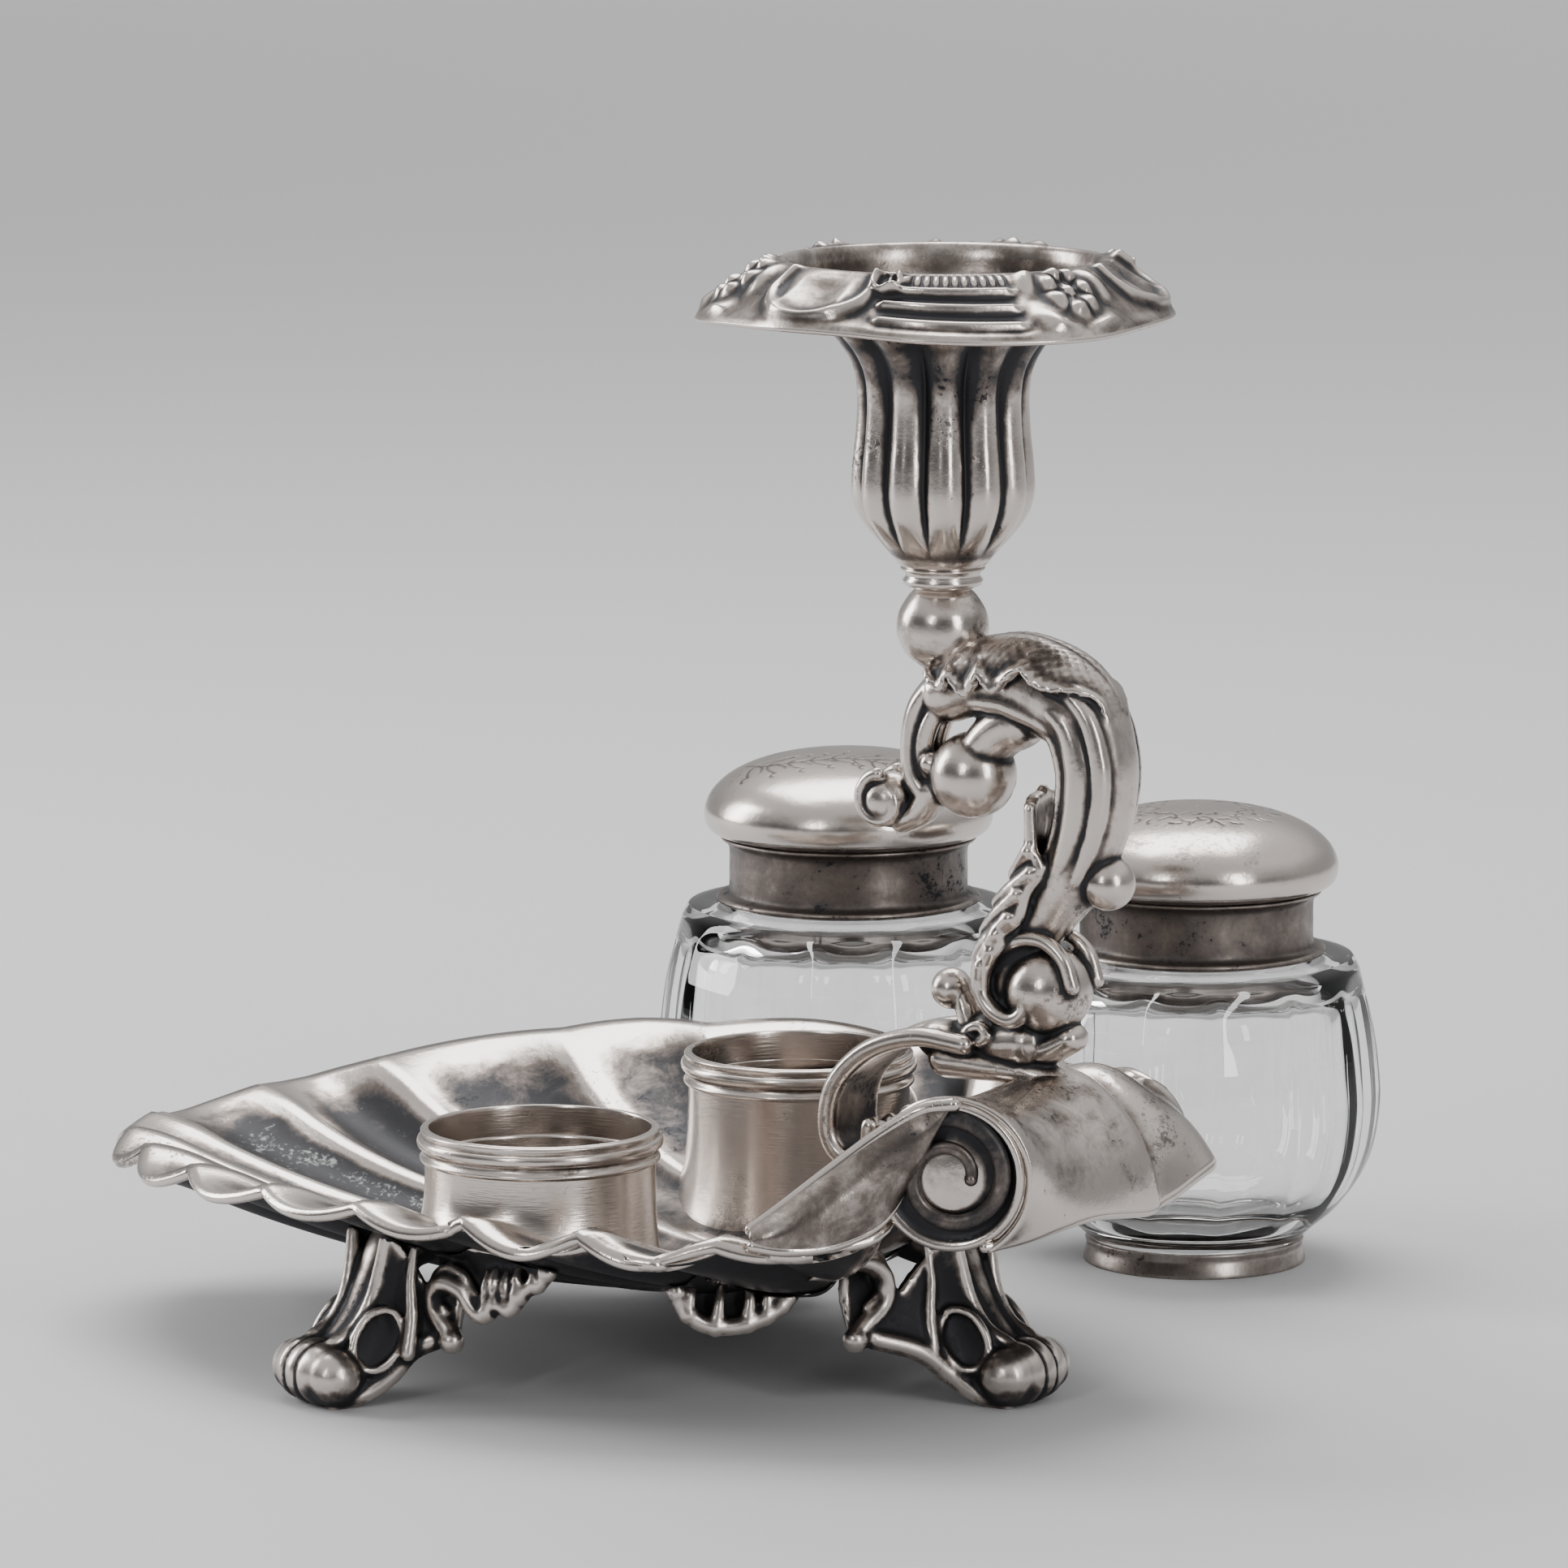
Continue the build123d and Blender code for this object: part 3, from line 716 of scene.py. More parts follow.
def hood():
    """The roll over the hinge: a ramp out of the bowl, two overlapping lobes and a drooping lip."""
    y = np.linspace(-HOOD_HALF, HOOD_HALF, 161)[None]
    lip_y, lip_x, lip_z = curve(LIP, 60).T
    lip_y = lip_y / 0.87
    lip_x, lip_z = np.interp(y, lip_y, lip_x), np.interp(y, lip_y, lip_z)
    climb = np.linspace(0, 1, 26)[:, None]
    start = 45.0 - 3.5 * np.abs(y / 29) ** 2
    shrink = smooth(y, 9, HOOD_HALF)
    roll_x, roll_z = ROLL[0] + 0 * y, ROLL[1] - FAR_DROP * shrink
    low = bowl(start, y) - 0.25
    back = ROLL[0] - ROLL_RADIUS * (1 - (1 - FAR_SIZE) * shrink)
    ramp_x = start + (back - start) * climb**0.62
    ramp_z = low + (roll_z - low) * climb**1.25
    droop = np.arctan2(lip_z - roll_z, lip_x - roll_x)
    reach = np.hypot(lip_x - roll_x, lip_z - roll_z)
    over = np.linspace(0, 1, 90)[1:, None]
    angle = pi + (droop - pi) * over
    spread = np.clip((over - 0.55) / 0.45, 0, 1) ** 2.3
    share = smooth(over, 0.12, 0.45) * (1 - 0.75 * smooth(over, 0.85, 1.0))
    near = smooth(y, -22, FOLD_Y - 1) * (1 - smooth(y, FOLD_Y, FOLD_Y + 1.6))
    beyond = smooth(y, FOLD_Y + 2, 17) * (1 - smooth(y, 20, 29))
    swell = 0.9 * near + 0.8 * beyond - 1.3 * bump(y, FOLD_Y + 2.4, 2.4) - 0.9 * bump(y, -11, 8)
    waist = ROLL_RADIUS * (1 - (1 - FAR_SIZE) * shrink)
    waist = waist - 1.5 * (1 - smooth(np.abs(y), 20, 29)) * smooth(over, 0.1, 0.35)
    radius = waist + (reach - waist) * spread + swell * share
    x = np.vstack((ramp_x, roll_x + radius * np.cos(angle)))
    z = np.vstack((ramp_z, roll_z + radius * np.sin(angle)))
    narrowing = 1 - np.tan(VOLUTE_LEAN) * np.clip(x - ROLL[0], -2, 10.5) / 30
    return np.stack((x, y * narrowing, z), -1)


def volute(side):
    """The snail scroll that closes one end of the hood."""
    profile = [(0.01, -0.2), (4.6, -0.3), (5.4, -0.7), (8.6, -0.9), (9.4, -0.5), (ROLL_RADIUS - 0.2, 0.4),
               (ROLL_RADIUS + 0.5, -0.2), (ROLL_RADIUS + 0.3, -2.4), (9.4, -3.0), (0.01, -3.0)]
    points, faces = revolved(profile, 96)
    turn = np.linspace(0, 2 * pi * 1.55, 170)
    radius = 9.9 - 6.8 * (turn / turn[-1]) ** 1.05
    start = 3.4
    spiral = np.stack((radius * np.cos(start - turn), radius * np.sin(start - turn), 0 * turn), -1)
    snail = tube(spiral, np.linspace(1.45, 0.95, 170), 16, flat=0.75, up=UP)
    knob = ball(spiral[-1], 1.0)
    points, faces = joined([(points, faces), snail, knob])
    px, py, pz = points.T
    if side > 0:
        px, py = px * FAR_SIZE, py * FAR_SIZE - FAR_DROP
    flat_x = ROLL[0] + 0.4 + px * cos(VOLUTE_LEAN) + pz * sin(VOLUTE_LEAN)
    out = VOLUTE_Y - 0.8 + pz * cos(VOLUTE_LEAN) - px * sin(VOLUTE_LEAN)
    return np.stack((flat_x, side * out, ROLL[1] - 0.2 + py), -1), faces


def shoulder(side):
    """The convex lobe that falls from the hood's crest to the rim beside a volute."""
    count = SHOULDER_STEPS
    upper = curve([(43.5, 47.5, 32.2), (46.5, 44.5, 35), (51.5, 39.5, 40), (57, 34.5, 45.2), (62, 31, 48.8),
                   (67, 30, 50)], count)
    lower = curve([(45, 49, 30.2), (49, 47, 29.6), (53, 42, 29.6), (56, 36.5, 31), (58, 33, 33.5),
                   (60, 31, 38)], count)
    if side > 0:
        rise = np.linspace(8.5, 0, count)[:, None] * UP
        sink = np.linspace(0, 7.8, count)[:, None] * UP
        upper, lower = upper + rise * 0.8 - sink, lower + rise - sink * 0.4
    t = np.linspace(0, 1, 26)[:, None, None]
    fullness = np.sin(pi * np.linspace(0.08, 0.9, count))[None, :, None]
    bulge = np.sin(pi * t) * fullness * np.array((0.6, 2.6, 0.6))
    grid = upper[None] * (1 - t) + lower[None] * t + bulge
    grid[..., 1] *= side
    return grid


class INKSTAND_OT_tray(bpy.types.Operator):
    """Beats the shell tray out of one sheet, with its rolled rim, hood and two volutes"""

    bl_idname = "inkstand.tray"
    bl_label = "Tray"

    def execute(self, context):
        sizes = context.scene.inkstand_sizes
        grid, shade = dish(sizes.tray_lobes)
        bowl_sheet = sheet_object("bowl_sheet", grid, sizes.tray_sheet)
        # painted shade: the bowl's undersides and one flank of each lobe are darkened
        hollows(bowl_sheet, 5, 900.0, under=0.6, extra=0.30 * np.tile(shade.ravel(), 2))
        rim = mesh_object("rim", *closed_tube(grid[-1] + (0, 0, -0.1), 0.85, 12))
        store(rim, "hollow", np.full(len(rim.data.vertices), 0.12))
        hood_sheet = sheet_object("hood_sheet", hood(), sizes.tray_sheet, close=False)
        # painted shade: the hood's undersides are darkened
        hollows(hood_sheet, 5, 700.0, under=0.3)
        lip = hood()[-1]
        lip_bead = mesh_object("lip", *tube(lip, 0.85, 14, up=UP))
        pieces = [bowl_sheet, rim, hood_sheet, lip_bead]
        for side in (-1, 1):
            scroll = mesh_object("volute", *volute(side))
            hollows(scroll, 2, 330.0, extra=0.06)
            flank = shoulder(side)
            cheek = mesh_object("shoulder", *slab(flank, sizes.tray_sheet))
            outward(cheek)
            hollows(cheek, 5, 500.0)
            store_least(cheek, 0.56)
            thick = np.linspace(0.8, 1.1, SHOULDER_STEPS)
            ridge = mesh_object("shoulder_ridge", *tube(flank[0], thick, 14, up=UP))
            store(ridge, "hollow", np.full(len(ridge.data.vertices), 0.1))
            thick = np.linspace(0.9, 0.6, SHOULDER_STEPS)
            hem = mesh_object("shoulder_hem", *tube(flank[-1], thick, 14, up=UP))
            store(hem, "hollow", np.full(len(hem.data.vertices), 0.1))
            pieces += [scroll, cheek, ridge, hem]
        tray = merged("tray", pieces)
        place_piece(tray, "stand", "silver_tray", silver_of("tray_silver"), "shell_tray")
        return {"FINISHED"}


def closed_tube(path, radius, sides):
    """Points and faces of a ring of round section along a closed path."""
    path = np.asarray(path, float)
    ahead = np.roll(path, -1, axis=0) - np.roll(path, 1, axis=0)
    ahead /= np.linalg.norm(ahead, axis=1)[:, None]
    side = np.cross(ahead, (0, 0, 1))
    side /= np.linalg.norm(side, axis=1)[:, None]
    across = np.cross(side, ahead)
    turn = np.linspace(0, 2 * pi, sides, endpoint=False)[None, :, None]
    points = path[:, None] + radius * (np.cos(turn) * side[:, None] + np.sin(turn) * across[:, None])
    return points.reshape(-1, 3), grid_faces(len(path), sides, close_rows=True, close_columns=True)


def merged(name, things):
    """One object from several, with their stored numbers kept."""
    bpy.ops.object.select_all(action="DESELECT")
    for thing in things:
        if "hollow" not in thing.data.attributes:
            store(thing, "hollow", np.full(len(thing.data.vertices), 0.3))
        thing.select_set(True)
    bpy.context.view_layer.objects.active = things[0]
    bpy.ops.object.join()
    things[0].name = name
    things[0].data.name = name
    things[0].select_set(False)
    return things[0]


# ---- the feet ----

WING_RADIUS = 46.5
TOE_PLACE = 61.5
TOE_RADIUS = 4.9
TOE_HALF = 4.8  # half the toe's width
ABOVE_TRAY = 90
BURIED = 0.5  # how far a foot's top stays under the tray's upper side

# a wing's lower edge: place along the wing, height
LONG_RAIL = [
    (19, 10.6), (16.6, 13), (13.6, 15.6), (13.6, 19.4), (16.6, 22), (21, 22.6), (25, 21.8), (28.6, 19.6),
    (31, 17), (34, 15.4), (38, 14.4), (42.5, 15), (45.5, 18), (46, 21.5), (43.5, 23),
]
SHORT_RAIL = [
    (12.5, 9.6), (11, 11.6), (8.8, 13.6), (8.6, 16.4), (11, 18.2), (14.5, 17.6), (16.4, 15.4), (18.4, 14.4),
    (20.5, 16.4), (23, 16), (25, 18.6), (28, 20.5), (29, 22.8), (26.5, 23.6),
]


def slab(grid, thickness):
    """A closed plate from a grid of points, thickened along its normals."""
    grid = np.asarray(grid, float)
    rows, columns = grid.shape[:2]
    normal = np.cross(np.gradient(grid, axis=0), np.gradient(grid, axis=1))
    normal /= np.maximum(np.linalg.norm(normal, axis=2), 1e-9)[..., None]
    front, back = grid + normal * thickness / 2, grid - normal * thickness / 2
    count = rows * columns
    faces = grid_faces(rows, columns)
    faces += [f[::-1] for f in grid_faces(rows, columns, start=count)]
    edge = [c for c in range(columns)]
    edge += [r * columns + columns - 1 for r in range(1, rows)]
    edge += [(rows - 1) * columns + c for c in range(columns - 2, -1, -1)]
    edge += [r * columns for r in range(rows - 2, 0, -1)]
    for a, b in zip(edge, edge[1:] + edge[:1]):
        faces.append((b, a, a + count, b + count))
    return np.concatenate((front.reshape(-1, 3), back.reshape(-1, 3))), faces


def wing(side, outline, sag):
    """One wing of a foot: a plate under the bowl, with a scrolled rail, leaf ribs and a curled end."""
    count = 110
    rail = curve(outline, count)
    turn = side * rail[:, 0] / WING_RADIUS
    round_it = np.stack((np.cos(turn), np.sin(turn)), -1)
    low = np.hstack((round_it * (WING_RADIUS + 0.8), rail[:, 1:]))
    rise = np.linspace(0, 1, 9)[:, None]
    radius = (WING_RADIUS - sag * np.sin(pi * rise) + 0.6 * rise)[..., None]
    climb = rail[:, 1] * (1 - rise) + (25.0 - 0.02 * rail[:, 0]) * rise
    plate = np.concatenate((radius * round_it[None], climb[..., None]), -1)
    parts = [tube(low, np.linspace(1.75, 1.2, count), 14, up=UP), slab(plate, 1.8)]
    inner = low[8:62] - np.hstack((round_it[8:62] * 0.2, np.full((54, 1), -2.3)))
    parts.append(tube(inner, 0.7, 10, up=UP))
    for place in (62, 68, 74, 82, 90, 97):
        foot_of_rib, head = low[place], plate[6, place - 2]
        bend = (foot_of_rib + head) / 2 + (1.1 * cos(turn[place]), 1.1 * sin(turn[place]), 0)
        parts.append(tube(curve([foot_of_rib, bend, head], 10), np.linspace(1.25, 0.5, 10), 10, up=UP))
        parts.append(ball(foot_of_rib, 1.55))
    parts.append(ball(low[0] + (0.3, 0, 0.2), 1.9))
    parts.append(ball(low[-1], 1.8))
    return parts


def leg():
    """The leg and its rolled toe, along the X axis."""
    core = curve([(42, 0, 24), (47.5, 0, 22), (50, 0, 17), (53, 0, 11.5), (57, 0, 7.4), (60.5, 0, 5.6)], 40)
    parts = [tube(core, np.linspace(4.6, 3.2, 40), 24, flat=1.1)]
    v = np.linspace(-TOE_HALF, TOE_HALF, 41)
    roll = np.stack((TOE_PLACE + 0 * v, v, TOE_RADIUS + 0 * v), -1)
    grooves = bump(v, -1.6, 0.42) + bump(v, 1.6, 0.42)
    taper = 1 - 0.14 * (np.abs(v) / TOE_HALF) ** 3
    parts.append(tube(roll, TOE_RADIUS * taper - 0.75 * grooves, 40, up=UP))
    for side in (-1, 1):
        mirror = (1, side, 1)
        if side < 0:
            flank = [(57, 5.9, 1.9), (53.4, 7.4, 4.4), (50, 11, 8.4), (45.2, 16.4, 10.8)]
        else:
            flank = [(57, 5.8, 1.9), (53, 6.8, 4.4), (49.8, 7.8, 8), (46, 10.4, 10.2)]
        sole = curve([(TOE_PLACE, 5.0, 1.2)] + flank, 40)
        knee = curve([(60.5, 3.2, 9.3), (57, 3.4, 11.2), (54.4, 3.7, 15), (53, 4.2, 20), (52, 5, 26)], 40)
        across = np.linspace(0, 1, 12)[:, None, None]
        hollow = np.array((-1.6, -0.6, 0.3)) * np.sin(pi * across)
        parts.append(slab((sole * (1 - across) + knee * across + hollow) * mirror, 2.0))
        scroll = curve([(60, 5.6, 7.2), (62.2, 5.7, 5.2), (60.6, 5.8, 3.2), (58, 5.9, 4.0),
                        (57.8, 5.8, 6.2)], 30)
        shield = curve([(58.4, 5.6, 9.6), (55.6, 5.5, 13.4), (52.2, 6.8, 13.8), (51.6, 8.2, 9.6),
                        (54.4, 7.3, 5.8), (57.6, 6.2, 6.0)], 60, closed=True)
        parts.append(tube(sole * mirror, np.linspace(1.4, 1.7, 40), 12))
        parts.append(tube(knee * mirror, 1.1, 12))
        parts.append(tube(scroll * mirror, 1.1, 12))
        parts.append(closed_tube(shield * mirror, 0.7, 12))
        vein = curve([(51.5, 9.5, 8), (50.5, 9.0, 13), (50, 8, 19), (49, 8, 25)], 24)
        parts.append(tube(vein * mirror, np.linspace(1.2, 0.6, 24), 10))
    return parts


def keep_under(thing, sheet):
    """Presses whatever rises through the tray back inside the thickness of its sheet."""
    for vertex in thing.data.vertices:
        if vertex.co.z > (BOWL_LOW - 4) * MM:
            spot = vertex.co / MM - Vector(STAND)
            hit = sheet.ray_cast(Vector((spot.x, spot.y, ABOVE_TRAY)), Vector((0, 0, -1)))[0]
            if hit:
                vertex.co.z = min(vertex.co.z, (hit.z - BURIED) * MM)


class INKSTAND_OT_feet(bpy.types.Operator):
    """Casts the three scrolled feet, each with a rolled toe and two wings under the bowl"""

    bl_idname = "inkstand.feet"
    bl_label = "Feet"

    def execute(self, context):
        whole = leg() + wing(-1, LONG_RAIL, 3.0) + wing(1, SHORT_RAIL, 2.0)
        grid = dish(context.scene.inkstand_sizes.tray_lobes)[0]
        faces = grid_faces(*grid.shape[:2], close_columns=True)
        bowl_top = BVHTree.FromPolygons(grid.reshape(-1, 3).tolist(), faces)
        for name in ("hinge_foot", "far_foot", "near_foot"):
            place = middle(name) - STAND
            heading = np.degrees(np.arctan2(place[1], place[0]))
            parts = [(turned(np.asarray(p, float).reshape(-1, 3), heading), f) for p, f in whole]
            foot = cast(name + "_casting", parts, voxel=0.42)
            keep_under(foot, bowl_top)
            # painted shade: the feet's downward faces are darkened
            hollows(foot, 5, 900.0, under=0.3)
            place_piece(foot, "stand", "silver_cast", silver_of("foot_silver"), name)
        return {"FINISHED"}


# ---- the jar rings ----

WALL_RADIUS = 16.95
WALL_FLARE = 1.8  # how far a wall spreads at its seat
WALL_GAUGE = 0.65


class INKSTAND_OT_rings(bpy.types.Operator):
    """Raises the two rings that hold the jars, each a flared wall with a moulded band"""

    bl_idname = "inkstand.rings"
    bl_label = "Jar rings"

    def execute(self, context):
        for side, centre in (("near", NEAR_RING), ("far", FAR_RING)):
            at = centre * (1, 1, 0)
            around = 160
            turn = np.linspace(0, 2 * pi, around, endpoint=False)
            rise = np.linspace(0, 1, 40)
            wall = []
            for inside in (0, 1):
                for t in rise if not inside else rise[::-1]:
                    flare = WALL_RADIUS + WALL_FLARE * (1 - t) ** 3
                    radius = flare - WALL_GAUGE if inside else flare
                    x, y = radius * np.cos(turn), radius * np.sin(turn)
                    seat = bowl(x + at[0] - STAND[0], y + at[1] - STAND[1]) - 1.0
                    wall.append(np.stack((x, y, seat + (RING_TOP - 4.4 - seat) * t), -1))
            wall = np.array(wall)
            faces = grid_faces(*wall.shape[:2], close_rows=True, close_columns=True)
            body = mesh_object(side + "_ring_sleeve", wall, faces, origin=at)
            shade = np.repeat(np.concatenate(((1 - rise) ** 6 * 0.7, 0.3 + 0.3 * (1 - rise[::-1]))), around)
            store(body, "hollow", 0.05 + shade)
            place_piece(body, "stand", "silver_ring", silver_of("ring_silver"), side + "_ring_wall")
            band = [(16.9, -5.0), (17.5, -4.8), (17.7, -4.3), (17.35, -3.8), (17.25, -3.2), (17.9, -2.7),
                    (18.1, -2.0), (17.9, -1.35), (17.4, -1.05), (17.5, -0.6), (17.55, -0.25), (17.2, 0),
                    (16.6, -0.05), (16.35, -0.4), (16.35, -5.0)]
            section = soft_profile(band) + (0, RING_TOP)
            moulding = solid_of_revolution(side + "_ring_moulding", section, at)
            hollows(moulding, 3, 1400.0)
            place_piece(moulding, "stand", "silver_ring", silver_of("ring_silver"), side + "_ring_band")
        return {"FINISHED"}


def soft_profile(points, each=4, closed=True):
    """A profile with its corners rounded by a smooth curve."""
    return curve(points, len(points) * each, closed=closed)


def solid_of_revolution(name, profile, centre, steps=192, ripple=None):
    """A turned solid about a vertical axis; its section is closed, or starts and ends on the axis."""
    profile = np.asarray(profile, float)
    points, faces = revolved(profile, steps, ripple)
    columns = len(profile)
    if profile[0, 0] < 0.05:
        faces = faces + [tuple(i * columns for i in range(steps))]
        faces = faces + [tuple(i * columns + columns - 1 for i in range(steps))[::-1]]
    else:
        faces = grid_faces(steps, columns, close_rows=True, close_columns=True)
    thing = mesh_object(name, points, faces, origin=np.asarray(centre, float) * (1, 1, 0))
    outward(thing)
    return thing


def outward(thing):
    """Turns every face of a closed solid outwards."""
    shape = bmesh.new()
    shape.from_mesh(thing.data)
    bmesh.ops.recalc_face_normals(shape, faces=shape.faces)
    shape.to_mesh(thing.data)
    shape.free()


# ---- the scroll handle ----

STEM = [
    (48.5, 104.5), (52, 106), (57, 107), (62.5, 106.7), (70.5, 103), (73.2, 97), (73.3, 91), (71.8, 85),
    (69, 79), (65.5, 73.5), (61.5, 68.5), (59.3, 63), (60, 57.5), (64, 54.5),
]
STEM_RADII = [4.6, 5.0, 5.6, 6.2, 6.4, 6.1, 5.9, 5.6, 5.4, 5.2, 4.9, 4.6, 4.2, 3.6]


def upright(points, y=0.0):
    """Points of a plane outline, set upright on the stand's long axis."""
    p = np.asarray(points, float)
    return np.stack((p[:, 0], np.full(len(p), y), p[:, 1]), -1)


def stem_frame(count):
    """The middle line of the stem, its radius, and its outward side, at evenly numbered places."""
    line = curve(STEM, count)
    radius = np.interp(np.linspace(0, 1, count), np.linspace(0, 1, len(STEM_RADII)), STEM_RADII)
    ahead = np.gradient(line, axis=0)
    ahead /= np.linalg.norm(ahead, axis=1)[:, None]
    outside = np.stack((-ahead[:, 1], ahead[:, 0]), -1)
    return line, radius, outside


ROD_STEPS = 50


def on_stem(first, last, angle, sink):
    """A line along the stem, at an angle about it from its outward side, sunk under its surface."""
    line, radius, outside = stem_frame(240)
    at = (np.linspace(first, last, ROD_STEPS) * 239).astype(int)
    a = np.radians(np.full(ROD_STEPS, angle))
    reach = radius[at] - sink
    x = line[at, 0] + outside[at, 0] * reach * np.cos(a)
    z = line[at, 1] + outside[at, 1] * reach * np.cos(a)
    return np.stack((x, reach * np.sin(a), z), -1)


def acanthus(first, last, spread, lobes):
    """A stippled leaf wrapped over the crook, with lobed edges and a sunk middle vein."""
    line, radius, outside = stem_frame(300)
    chosen = slice(int(first * 300), int(last * 300))
    line, radius, outside = line[chosen], radius[chosen], outside[chosen]
    along = np.linspace(0, 1, len(line))[:, None]
    fall = np.sin(pi * np.clip(along * 0.78 + 0.2, 0, 1)) ** 0.7
    width = np.radians(spread) * (0.74 + 0.26 * np.abs(np.sin(lobes * pi * along))) * fall
    across = np.linspace(-1, 1, 61)[None]
    angle = across * width
    veins = 0.45 * np.abs(np.sin(lobes * pi * along + 1.4 * np.abs(across))) * np.abs(across)
    dots = 0.16 * np.sin(along * 190) * np.sin(across * 34)
    lift = 0.5 + veins + dots + 0.75 * smooth(np.abs(across), 0.72, 0.95) - 0.3 * bump(across, 0, 0.07)
    reach = radius[:, None] + lift * (1 - smooth(along, 0.75, 1)) - 1.3 * smooth(along, 0.7, 1)
    x = line[:, :1] + outside[:, :1] * reach * np.cos(angle)
    z = line[:, 1:] + outside[:, 1:] * reach * np.cos(angle)
    return slab(np.stack((x, reach * np.sin(angle), z), -1), 1.5)


def coil(centre, outer, inner, turns, start, y, radius):
    """A spiral rail in an upright plane."""
    t = np.linspace(0, 1, int(60 * turns))
    angle = start + 2 * pi * turns * t
    reach = outer + (inner - outer) * t**0.9
    path = np.stack((centre[0] + reach * np.cos(angle), y + 0 * t, centre[1] + reach * np.sin(angle)), -1)
    return tube(path, radius * (1 - 0.35 * t), 12)


KEEL = [
    (64.1, 91.4), (63.4, 85), (60.4, 78), (57, 72.6), (54.9, 67), (54.6, 62.5), (56, 58.8), (59.5, 56.8),
    (64, 56.2),
]
WAVE = [
    (64.8, 89.4), (65.2, 83.6), (66.4, 80.4), (64.2, 77.0), (62.8, 73.2), (60.2, 70.8), (59.3, 68.2),
    (56.6, 65.6), (56.4, 62), (58.4, 59), (61.6, 57.8), (64, 59.4), (63.6, 62.0),
]


def stem_leaf(side):
    """The long leaf on the lower stem: a keel, a wavy rib and slanting gadroons between them."""
    keel, wave = upright(curve(KEEL, 100)), upright(curve(WAVE[:10], 100))
    lean = np.linspace(0, pi / 2, 12)[:, None, None]
    sheet = keel[None] * np.cos(lean) + wave[None] * (1 - np.cos(lean))
    sheet[..., 1] = side * 4.9 * np.sin(lean[..., 0])
    rib = upright(curve(WAVE, 110), side * 5.0)
    parts = [slab(sheet, 1.8), tube(rib, np.linspace(0.9, 1.25, 110), 14)]
    for place in range(16, 84, 10):
        slant = [sheet[3, place + 7], sheet[6, place + 3], sheet[10, place - 3]]
        slant = np.array(slant) + (-0.3, side * 0.5, 0)
        parts.append(tube(curve(slant, 14), 1.25, 12))
    return parts


